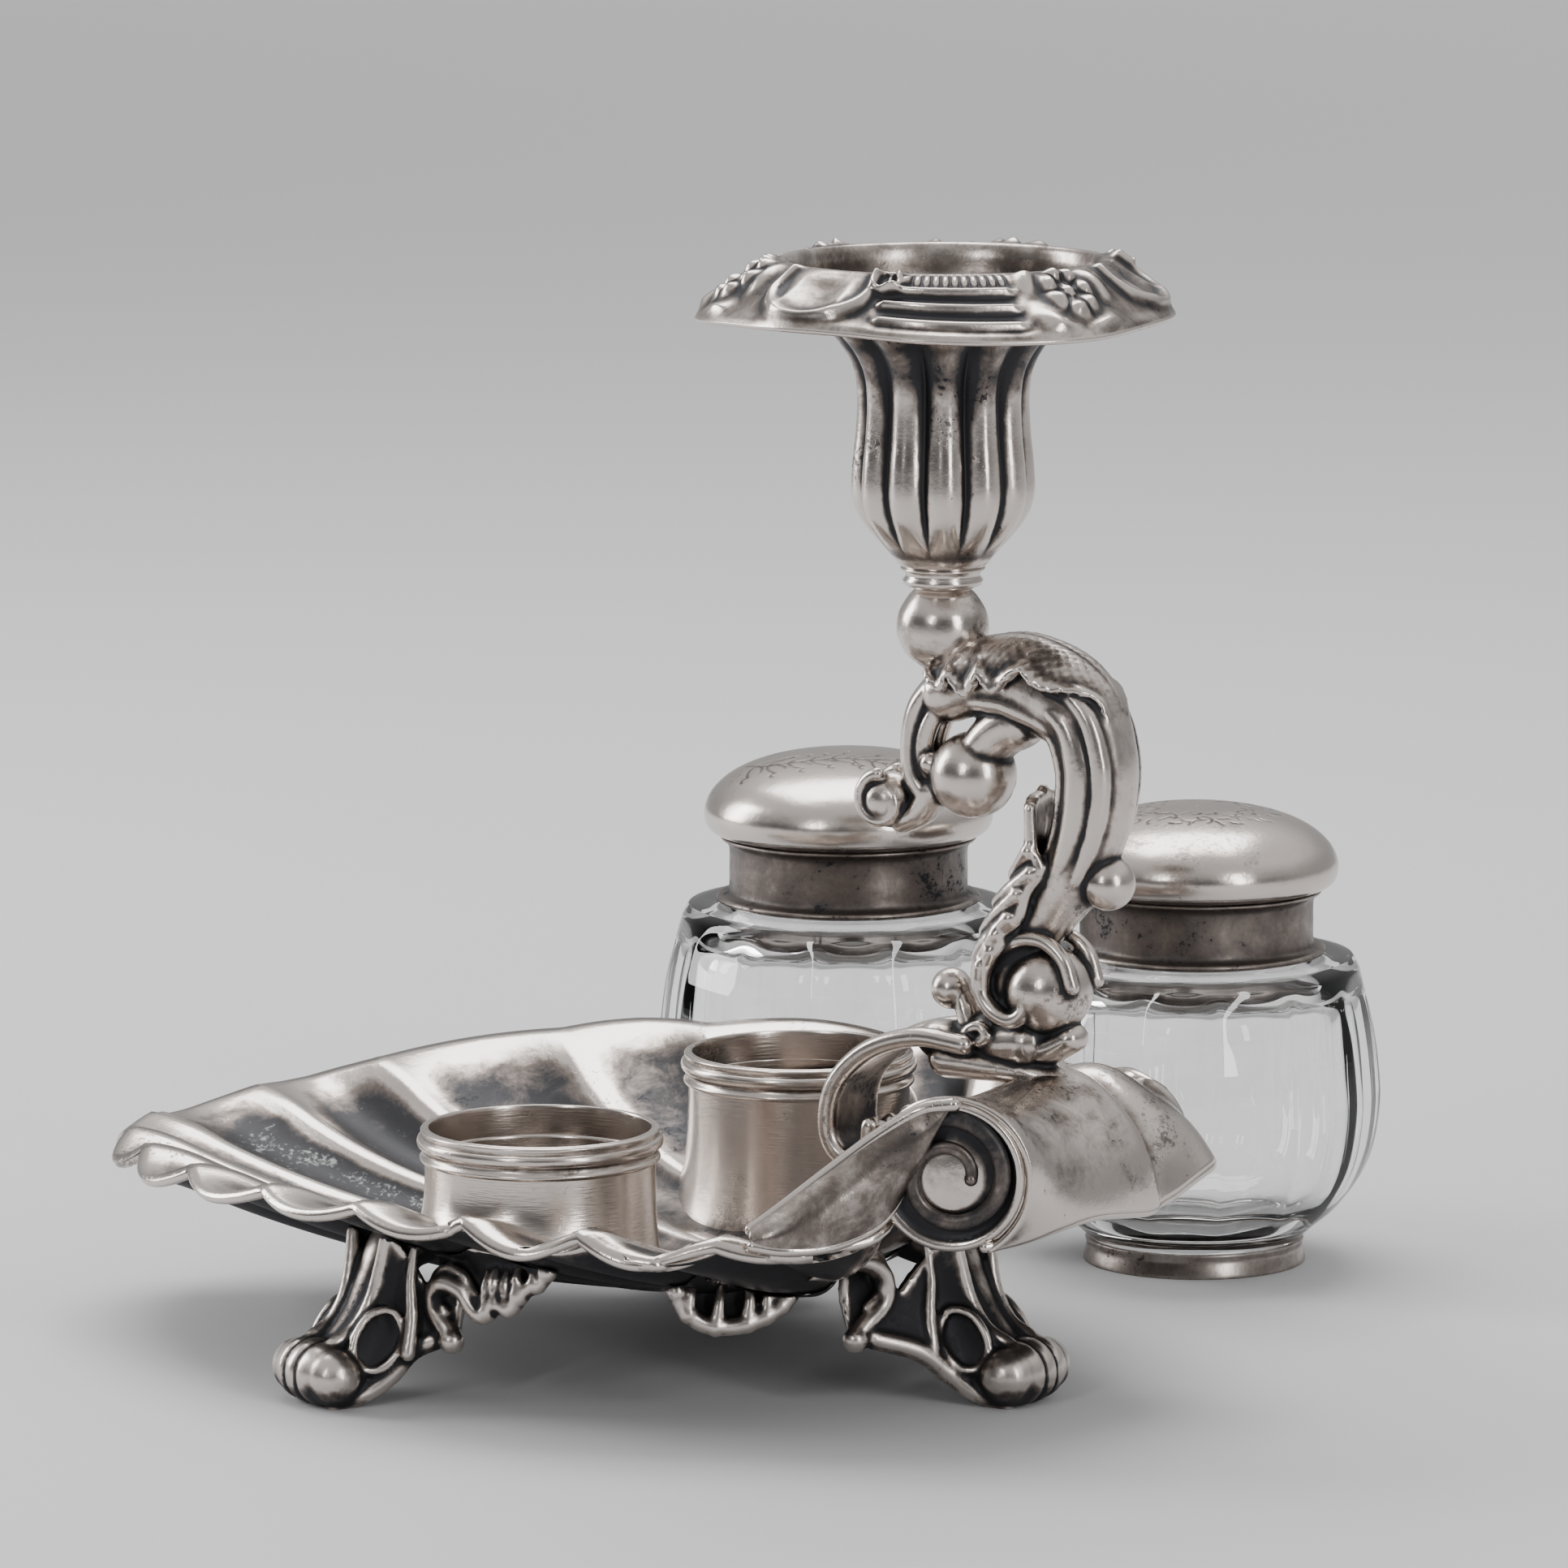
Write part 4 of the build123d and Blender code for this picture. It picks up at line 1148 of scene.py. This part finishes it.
def handle_parts():
    """Every rod, leaf, ball and scroll of the handle."""
    line, radius = stem_frame(120)[:2]
    slim = 0.96 - 0.2 * smooth(np.linspace(0, 1, 120), 0.6, 0.72)
    parts = [tube(upright(line), radius * slim, 36), acanthus(0.0, 0.36, 104, 4.5)]
    parts.append(tube(upright(curve(KEEL, 80)), np.linspace(0.9, 1.9, 80), 16))
    for side in (-1, 1):
        mirror = (1, side, 1)
        for first, last, angle, sink, thick in (
            (0.26, 0.60, 58, 1.0, 1.75), (0.29, 0.60, 97, 1.6, 2.5), (0.27, 0.60, 138, 0.9, 1.5),
            (0.10, 0.30, 128, 1.2, 1.9), (0.10, 0.30, 158, 1.0, 1.6),
        ):
            ends = np.sin(np.linspace(0.25, pi - 0.25, ROD_STEPS)) ** 0.35
            parts.append(tube(on_stem(first, last, angle, sink) * mirror, thick * ends, 16))
        parts += stem_leaf(side)
        cap = curve([(57.6, 66), (61.4, 69.3), (66, 69.8), (69.6, 67.4), (71.2, 63.4)], 40)
        strap = curve([(49, 104.6), (46, 99.8), (45, 95.8), (46.2, 92.8), (48, 93.4)], 40)
        hook = curve([(52.6, 52.2), (53.4, 55), (55.6, 56.2), (56.8, 54.8), (55.4, 53.9)], 30)
        parts.append(tube(upright(cap, side * 3.6), 1.15, 12))
        parts.append(tube(upright(strap, side * 1.9), 1.45, 14))
        parts.append(tube(upright(hook, side * 3.7), 0.95, 12))
        parts.append(coil((38.2, 87.9), 4.1, 1.1, 1.35, 1.7, side * 2.9, 1.05))
        parts.append(ball((46.9, side * 3.0, 94.3), 1.7))
        parts.append(ball((38.2, side * 2.9, 87.9), 1.3))
    rods = (
        ([(60, 101), (57.4, 99.6), (55, 97.4), (53.4, 95)], 4.0, 3.6, 1.2),
        ([(47, 106), (43.9, 102), (42.8, 97), (43.2, 92.4), (45.2, 89.4)], 2.3, 2.2, 1.5),
        ([(46, 90), (43.6, 86.6), (40.4, 84.8)], 2.4, 1.8, 1.4),
        ([(68, 79.2), (71, 80.4), (73.8, 79.6)], 2.8, 2.2, 1.2),
        ([(69.2, 55.2), (65.4, 53.4), (60, 52.8), (54, 53.2), (46.5, 53)], 2.2, 2.9, 1.35),
        ([(62, 54), (58, 53.6), (54, 54)], 4.0, 3.2, 1.15),
        ([(54, 52.4), (52.4, 55.4), (51.4, 58.2), (50.2, 60.6)], 2.2, 1.5, 1.3),
        ([(49, 50.6), (56, 50.2), (63, 49.6), (68.6, 47.8)], 3.2, 1.6, 1.6),
    )
    for points, thick, thin, flat in rods:
        parts.append(tube(curve(upright(points), 30), np.linspace(thick, thin, 30), 22, flat=flat))
    balls = (
        ((65.3, 0, 62), 6.5), ((52.3, 0, 92.7), 6.4), ((38.2, 0, 87.9), 4.2), ((75.1, 0, 78.6), 4.0),
        ((68.6, 0, 55.0), 2.2), ((48.7, 0, 60.7), 3.1),
    )
    parts += [ball(place, size) for place, size in balls]
    loop = curve([(54, 53), (46, 53.4), (38, 50.7), (32.6, 45.4), (31.4, 39), (33.6, 35.4), (37, 36.6),
                  (37.6, 40)], 80)
    y = np.linspace(-5.8, 5.8, 21)
    ribbon = np.stack((loop[:, :1] + 0 * y, 0 * loop[:, :1] + y, loop[:, 1:] + 0 * y), -1)
    parts.append(slab(ribbon, 1.7))
    ahead = np.gradient(loop, axis=0)
    away = np.stack((-ahead[:, 1], ahead[:, 0]), -1) / np.linalg.norm(ahead, axis=1)[:, None]
    for edge, thick in ((-5.6, 1.5), (0, 1.1), (5.6, 1.5)):
        parts.append(tube(upright(loop - away * 0.6, edge), thick, 12))
    return parts


class INKSTAND_OT_handle(bpy.types.Operator):
    """Casts the scroll handle, with its leaves, balls and the looped ribbon at its root"""

    bl_idname = "inkstand.handle"
    bl_label = "Scroll handle"

    def execute(self, context):
        handle = cast("handle_casting", handle_parts(), voxel=0.33)
        hollows(handle, 6, 850.0)
        place_piece(handle, "stand", "silver_cast", silver_of("cast_silver"), "scroll_handle")
        return {"FINISHED"}


# ---- the candle socket ----

RIB_LIFT = 0.35
RIB_DEPTH = 1.9


class INKSTAND_OT_socket(bpy.types.Operator):
    """Turns the ball and collar, and chases the ribbed cup that holds the candle"""

    bl_idname = "inkstand.socket"
    bl_label = "Candle socket"

    def execute(self, context):
        axis = CANDLE + STAND
        low, high = BALL_LOW[2], BALL_HIGH[2]
        knop = [(0.01, low), (2.2, low + 0.1), (3.4, low + 0.9), (5.4, low + 2.6), (6.5, low + 4.8),
                (6.75, low + 6.6), (6.4, low + 8.8), (5.2, low + 10.9), (4.3, high - 0.5), (3.5, high),
                (0.01, high)]
        section = soft_profile(knop, 5, closed=False).clip(0.01, None)
        ball_piece = solid_of_revolution("socket_ball", section, axis)
        hollows(ball_piece, 4, 500.0)
        place_piece(ball_piece, "stand", "silver_cup", silver_of("cup_silver"), "knop_ball")
        top = span("knop_collar")[1][2]
        collar = [(0.01, high), (4.6, high), (5.2, high + 0.15), (5.75, high + 0.5), (5.9, high + 1.1),
                  (5.5, high + 1.6), (5.45, high + 2.2), (6.1, top - 0.3), (6.2, top), (0.01, top)]
        ring = solid_of_revolution("socket_collar", collar, axis)
        store(ring, "hollow", np.full(len(ring.data.vertices), 0.35))
        place_piece(ring, "stand", "silver_cup", silver_of("cup_silver"), "knop_collar")
        low, high = CUP_LOW[2], CUP_HIGH[2]
        outer_count = 150
        outside = curve([(0.01, 0), (5.6, 0), (7.9, 2.3), (10.3, 5.0), (12.2, 8), (13.0, 11), (12.9, 15),
                         (12.4, 20), (12.2, 25), (12.7, 29), (14.3, 32.2), (16.5, 34.8), (18.7, 37.5)],
                        outer_count)
        inside = curve([(18.0, 37.6), (13.4, 34), (11.0, 29.5), (10.4, 25), (10.3, 18), (10.5, 10),
                        (8.4, 5.5), (0.01, 4.4)], 90)
        profile = np.vstack((outside, inside)).clip(0.01, None)
        profile[:, 1] *= (high - low) / 37.6
        profile[:, 1] += low
        flutes = context.scene.inkstand_sizes.cup_flutes

        def ribs(turn, radius, height):
            rib = np.abs(np.sin((turn - 0.3) * flutes / 2)) ** 0.85
            share = smooth(height, low + 1.5, low + 9) * (1 - 0.35 * smooth(height, low + 31, high))
            outer = np.arange(radius.shape[1]) < outer_count
            return radius + (RIB_LIFT - RIB_DEPTH * (1 - rib)) * share * outer, height

        cup = solid_of_revolution("ribbed_cup", profile, axis, 360, ribs)
        heights = np.array([vertex.co.z for vertex in cup.data.vertices]) / MM
        hollows(cup, 12, 900.0, extra=0.20 * smooth(heights, low + 16, high - 5))
        place_piece(cup, "stand", "silver_cup", silver_of("cup_silver"), "candle_cup")
        for node in ("socket_stud", "socket_nut"):
            recolour(node, steel())
        return {"FINISHED"}


def recolour(node, material):
    """Gives a CAD node that stays in view a finished material."""
    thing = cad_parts[node]
    if not thing.material_slots:
        thing.data.materials.append(material)
    for place in thing.material_slots:
        place.material = material


# ---- the drip pan ----

SHELL_TURN = -99.0
PAN_CREST = 23.0


class INKSTAND_OT_drip_pan(bpy.types.Operator):
    """Stamps the drip pan, with its shells, gadroons and flowers, and finishes its nozzle"""

    bl_idname = "inkstand.drip_pan"
    bl_label = "Drip pan"

    def execute(self, context):
        axis = middle("nozzle_tube")
        upper = curve([(35.0, -9.6), (34.3, -8.6), (32.8, -7.4), (30.5, -5.3), (28, -3.0), (25.6, -0.9),
                       (23.8, -0.05), (22.8, -0.4), (22.2, -1.8), (21.8, -4.4), (20.6, -6.0), (17, -6.5),
                       (10.4, -6.6)], 170)
        under = curve([(10.4, -7.6), (18.6, -7.6), (21.5, -7.2), (25, -8.0), (29, -9.3), (33, -10.0),
                       (34.8, -10.1)], 50)
        profile = np.vstack((upper, under)) + (0, PAN_TOP)
        sloped = 95  # samples from the edge to the well

        def stamp(turn, radius, height):
            proud = pan_ornament(turn, radius)
            edge = smooth(radius, 24, 34)
            slope = np.arange(radius.shape[1]) < sloped
            third = 3 * (turn - radians(SHELL_TURN))
            lobes = 0.4 * np.cos(3 * third + 0.6) - 1.2 * np.cos(third) - 0.1
            wide = radius + edge * lobes + 0.8 * proud * slope
            wave = (1.4 + 0.5 * np.cos(third)) * edge
            return wide, height + proud * slope + wave

        pan = solid_of_revolution("stamped_pan", profile, axis, 720, stamp)
        hollows(pan, 5, 1000.0)
        place_piece(pan, "drip_pan", "silver_pan", silver_of("pan_silver"), "drip_pan")
        recolour("nozzle_tube", silver_of("pan_silver"))
        return {"FINISHED"}


def pan_ornament(turn, radius):
    """How far the pan's ornament stands up: a shell, a gadrooned panel and a flower, three of each."""
    a = (np.degrees(turn) - SHELL_TURN + 22) % 120 - 22
    r = radius + 0 * a
    body = smooth(r, PAN_CREST + 0.5, PAN_CREST + 2) * (1 - smooth(r, 33.2, 34.8))
    shell = smooth(-np.abs(a), -21, -17)
    ribs = np.abs(np.cos(np.radians(a * 9 * (1 + 0.02 * (r - 28)))))
    rim_arc = bump(np.hypot(a * 0.30, (r - 26.5) * 0.8), 5.6, 0.8)
    fan = 0.7 * (1 - ribs) * bump(a, 0, 14) * bump(r, 30, 3.2)
    height = shell * (0.9 * rim_arc + fan - 0.5 * bump(a, 0, 12) * bump(r, 28, 3))
    panel = smooth(a, 20, 24) * (1 - smooth(a, 58, 63))
    lines = np.abs(np.sin(np.radians(a * 60))) * bump(r, 25.2, 1.4)
    rails = bump(r, 27.6, 0.55) + bump(r, 30.2, 0.6) + 0.8 * bump(r, 32.8, 0.7)
    height = height + panel * (0.45 * lines + 0.95 * rails - 0.25)
    height = height + 0.9 * bump(np.hypot((a - 22) * 0.42, (r - 26)), 1.9, 0.6) * smooth(a, 15, 20)
    across, out = (a - 78) * 0.5, r - 28.2
    from_centre = np.hypot(across, out)
    heading = np.arctan2(out, across)
    petals = np.abs(np.cos(heading * 3.5))
    flower = 1.25 * bump(from_centre, 2.9, 1.3) * (0.45 + 0.55 * petals) + 0.9 * bump(from_centre, 0, 1.0)
    leaves = 0.9 * bump(from_centre, 6.6, 1.6) * np.abs(np.cos(heading * 2.5 + 0.3)) ** 1.5
    garden = smooth(a, 58, 63) * (1 - smooth(a, 94, 98))
    height = height + garden * (flower + leaves)
    return height * body


# ---- the ink jars ----


def jar_scale(side):
    """How much larger than the right jar a jar is."""
    low, high = span(side + "_jar_glass")
    right_low, right_high = span("right_jar_glass")
    return (high[2] - low[2]) / (right_high[2] - right_low[2])


CUT_DEPTH = 0.6
GLASS_OUTER = 110  # samples on the outside of a jar, below its shoulder


def glass_profile():
    """The jar's section, outside then inside, from the axis and back to it."""
    outer = [(0.01, 2.6), (15.4, 2.6), (16.4, 3.6), (19, 6.0), (22.8, 9.2), (26.2, 14), (28.2, 19),
             (29.2, 26), (28.9, 32), (28.0, 38), (26.6, 43.5), (25.6, 47.0)]
    top = [(24.6, 48.7), (22.5, 49), (17.6, 49), (16.6, 49.6), (16.6, 53.4), (15.6, 53.6), (14.2, 53.4),
           (14.0, 50)]
    inner = [(14.6, 47), (18.6, 45.2), (21.4, 42.5), (22.8, 38), (23.2, 30), (23.0, 22), (21.6, 15.5),
             (18.6, 11.4), (13, 9.2), (6, 8.5), (0.01, 8.4)]
    return np.vstack((curve(outer, GLASS_OUTER), curve(top, 60), curve(inner, 90))).clip(0.01, None)


class INKSTAND_OT_jars(bpy.types.Operator):
    """Cuts the two glass jars and fits their silver collars and foot rings"""

    bl_idname = "inkstand.jars"
    bl_label = "Ink jars"

    def execute(self, context):
        flutes = context.scene.inkstand_sizes.glass_flutes
        glass = cut_glass()
        pale = plaster()
        for side, spin in (("left", 0.1), ("right", 0.24)):
            body = side + "_jar"
            scale = jar_scale(side)
            axis = middle(side + "_jar_glass") * (1, 1, 0)

            def cuts(turn, radius, height, scale=scale, spin=spin):
                step = 2 * pi / flutes
                place = (turn + spin + step / 2) % step - step / 2
                share = place / (step / 2)
                z = height / scale
                arch = 44.5 + 2.6 * np.sqrt(np.clip(1 - share**2, 0, 1))
                reach = smooth(z, 6, 16) * (1 - smooth(z, arch - 4.0, arch))
                outer = np.arange(radius.shape[1]) < GLASS_OUTER
                return radius - scale * CUT_DEPTH * (1 - share**2) * reach * outer, height

            blown = solid_of_revolution(side + "_cut_jar", glass_profile() * scale, axis, flutes * 24, cuts)
            place_piece(blown, body, "cut_glass", glass, side + "_jar_glass")
            hoop = [(15.9, 0.25), (16.2, 0), (17.3, 0), (17.5, 0.3), (17.3, 1.4), (17.0, 2.6), (17.2, 3.5),
                    (17.0, 3.75), (15.95, 3.7)]
            foot = solid_of_revolution(side + "_foot_hoop", soft_profile(hoop) * scale, axis)
            store(foot, "hollow", np.full(len(foot.data.vertices), 0.3))
            place_piece(foot, body, "silver_collar", silver_of("collar_silver"), side + "_jar_foot_ring")
            band = [(17.7, 49.05), (19.5, 49.1), (20.3, 49.5), (20.1, 50.1), (19.0, 50.4), (18.4, 51.2),
                    (18.35, 54), (18.35, 57.2), (18.8, 58.3), (19.6, 58.9), (19.7, 59.3), (19.2, 59.4),
                    (17.8, 59.35), (17.7, 57), (17.65, 52)]
            collar = solid_of_revolution(side + "_mouth_band", soft_profile(band) * scale, axis)
            hollows(collar, 3, 500.0)
            place_piece(collar, body, "silver_collar", silver_of("collar_silver"), side + "_jar_collar")
            recolour(side + "_jar_plaster", pale)
        return {"FINISHED"}


STROKE_WIDTH = 0.24
STROKE_DEPTH = 0.10
ENGRAVED_ABOVE = 62  # the height over which a lid is engraved


def stroke(start, heading, length, bend):
    """Points of one engraved stroke, which bends by a number of degrees along its length."""
    count = 14
    t = np.linspace(0, 1, count)
    turn = radians(heading) + radians(bend) * (t - 0.5)
    step = length / (count - 1)
    x = start[0] + np.cumsum(np.cos(turn)) * step
    y = start[1] + np.cumsum(np.sin(turn)) * step
    return np.stack((x, y), -1)


def branch():
    """A leafy branch that curls over the lid, as engraved strokes."""
    stem = curve([(-13, -9), (-8, -11), (-2, -9), (3, -5), (9, -4), (13, 0), (11, 5)], 70)
    strokes = [stem]
    for i in range(6, 66, 6):
        heading = np.degrees(np.arctan2(*(stem[i + 1] - stem[i])[::-1]))
        for side in (-1, 1):
            leaf = stroke(stem[i], heading + side * 48, 4.2, -side * 50)
            strokes += [leaf, stroke(stem[i], heading + side * 22, 4.0, side * 60)]
            strokes.append(stroke(leaf[-1], heading + side * 80, 1.8, -side * 160))
    for turn in range(0, 360, 40):
        strokes.append(stroke((11, 5), turn, 2.2, 120))
    return np.vstack(strokes)


def wreath():
    """A ring of short crescent strokes around the lid's middle."""
    strokes = []
    count = 96
    for i in range(count):
        turn = radians(360 / count * i)
        out = 9.4 + 2.3 * sin(i * 2.4)
        place = (out * cos(turn), out * sin(turn))
        strokes.append(stroke(place, np.degrees(turn) + 90 + 65 * sin(i * 1.7), 1.9, 110 * cos(i * 2.9)))
    return np.vstack(strokes)


def engraving(points, strokes):
    """How deeply the nearest stroke cuts each point of a lid, from 0 to 1."""
    cut = np.zeros(len(points))
    batch = 20000
    for first in range(0, len(points), batch):
        some = points[first : first + batch]
        gap_x = some[:, None, 0] - strokes[None, :, 0]
        gap_y = some[:, None, 1] - strokes[None, :, 1]
        gap = np.hypot(gap_x, gap_y).min(axis=1)
        cut[first : first + batch] = bump(gap, 0, STROKE_WIDTH) * (some[:, 2] > ENGRAVED_ABOVE)
    return cut


class INKSTAND_OT_lids(bpy.types.Operator):
    """Spins the two domed lids and engraves a leafy branch on one and a wreath on the other"""

    bl_idname = "inkstand.lids"
    bl_label = "Lids"

    def execute(self, context):
        for side in ("left", "right"):
            scale = jar_scale(side)
            axis = middle(side + "_jar_lid_dome") * (1, 1, 0)
            outside = curve([(19.4, 59.75), (20.6, 59.9), (21.7, 60.8), (22.2, 62.4), (22.0, 64.2),
                             (20.8, 66.4), (18.3, 68.6), (14.6, 70.4), (9.6, 71.7), (4.5, 72.15),
                             (0.01, 72.2)], 150)
            inside = curve([(0.01, 71.4), (9.4, 70.9), (14.2, 69.6), (17.8, 67.8), (20.2, 65.4),
                            (21.2, 63.2), (21.1, 61.6), (20.2, 60.7), (19.3, 60.45)], 60)
            profile = np.vstack((outside, inside)).clip(0.01, None) * scale
            around = 512
            points = revolved(profile, around)[0].reshape(-1, 3)
            strokes = (branch() if side == "left" else wreath()) * scale
            cut = engraving(points, strokes)
            points[:, 2] -= STROKE_DEPTH * cut
            faces = grid_faces(around, len(profile), close_rows=True, close_columns=True)
            dome = mesh_object(side + "_domed_lid", points, faces, origin=axis)
            outward(dome)
            store(dome, "hollow", 0.42 + 0.42 * cut)
            finish = silver_of("lid_silver")
            place_piece(dome, side + "_jar_lid", "silver_lid", finish, side + "_jar_lid_dome")
            recolour(side + "_jar_lid_bezel", finish)
        return {"FINISHED"}


# ---- the add-on ----


class INKSTAND_PT_pieces(bpy.types.Panel):
    """Lists the steps that build the inkstand"""

    bl_idname = "INKSTAND_PT_pieces"
    bl_label = "Inkstand"
    bl_space_type = "VIEW_3D"
    bl_region_type = "UI"
    bl_category = "Inkstand"

    def draw(self, context):
        sizes = context.scene.inkstand_sizes
        colours = context.scene.inkstand_colours
        for group in (sizes, colours):
            for name in group.__annotations__:
                self.layout.prop(group, name)
        for step in STEPS:
            self.layout.operator(step.bl_idname)


STEPS = (
    INKSTAND_OT_tray,
    INKSTAND_OT_feet,
    INKSTAND_OT_rings,
    INKSTAND_OT_handle,
    INKSTAND_OT_socket,
    INKSTAND_OT_drip_pan,
    INKSTAND_OT_jars,
    INKSTAND_OT_lids,
    INKSTAND_OT_stage,
)
CLASSES = (InkstandSizes, InkstandColours, *STEPS, INKSTAND_PT_pieces)


def register():
    for item in CLASSES:
        bpy.utils.register_class(item)
    bpy.types.Scene.inkstand_sizes = bpy.props.PointerProperty(type=InkstandSizes)
    bpy.types.Scene.inkstand_colours = bpy.props.PointerProperty(type=InkstandColours)


def unregister():
    del bpy.types.Scene.inkstand_colours
    del bpy.types.Scene.inkstand_sizes
    for item in reversed(CLASSES):
        bpy.utils.unregister_class(item)


def main():
    register()
    bpy.ops.inkstand.tray()
    bpy.ops.inkstand.feet()
    bpy.ops.inkstand.rings()
    bpy.ops.inkstand.handle()
    bpy.ops.inkstand.socket()
    bpy.ops.inkstand.drip_pan()
    bpy.ops.inkstand.jars()
    bpy.ops.inkstand.lids()
    bpy.ops.inkstand.stage()


if __name__ == "__main__":
    main()
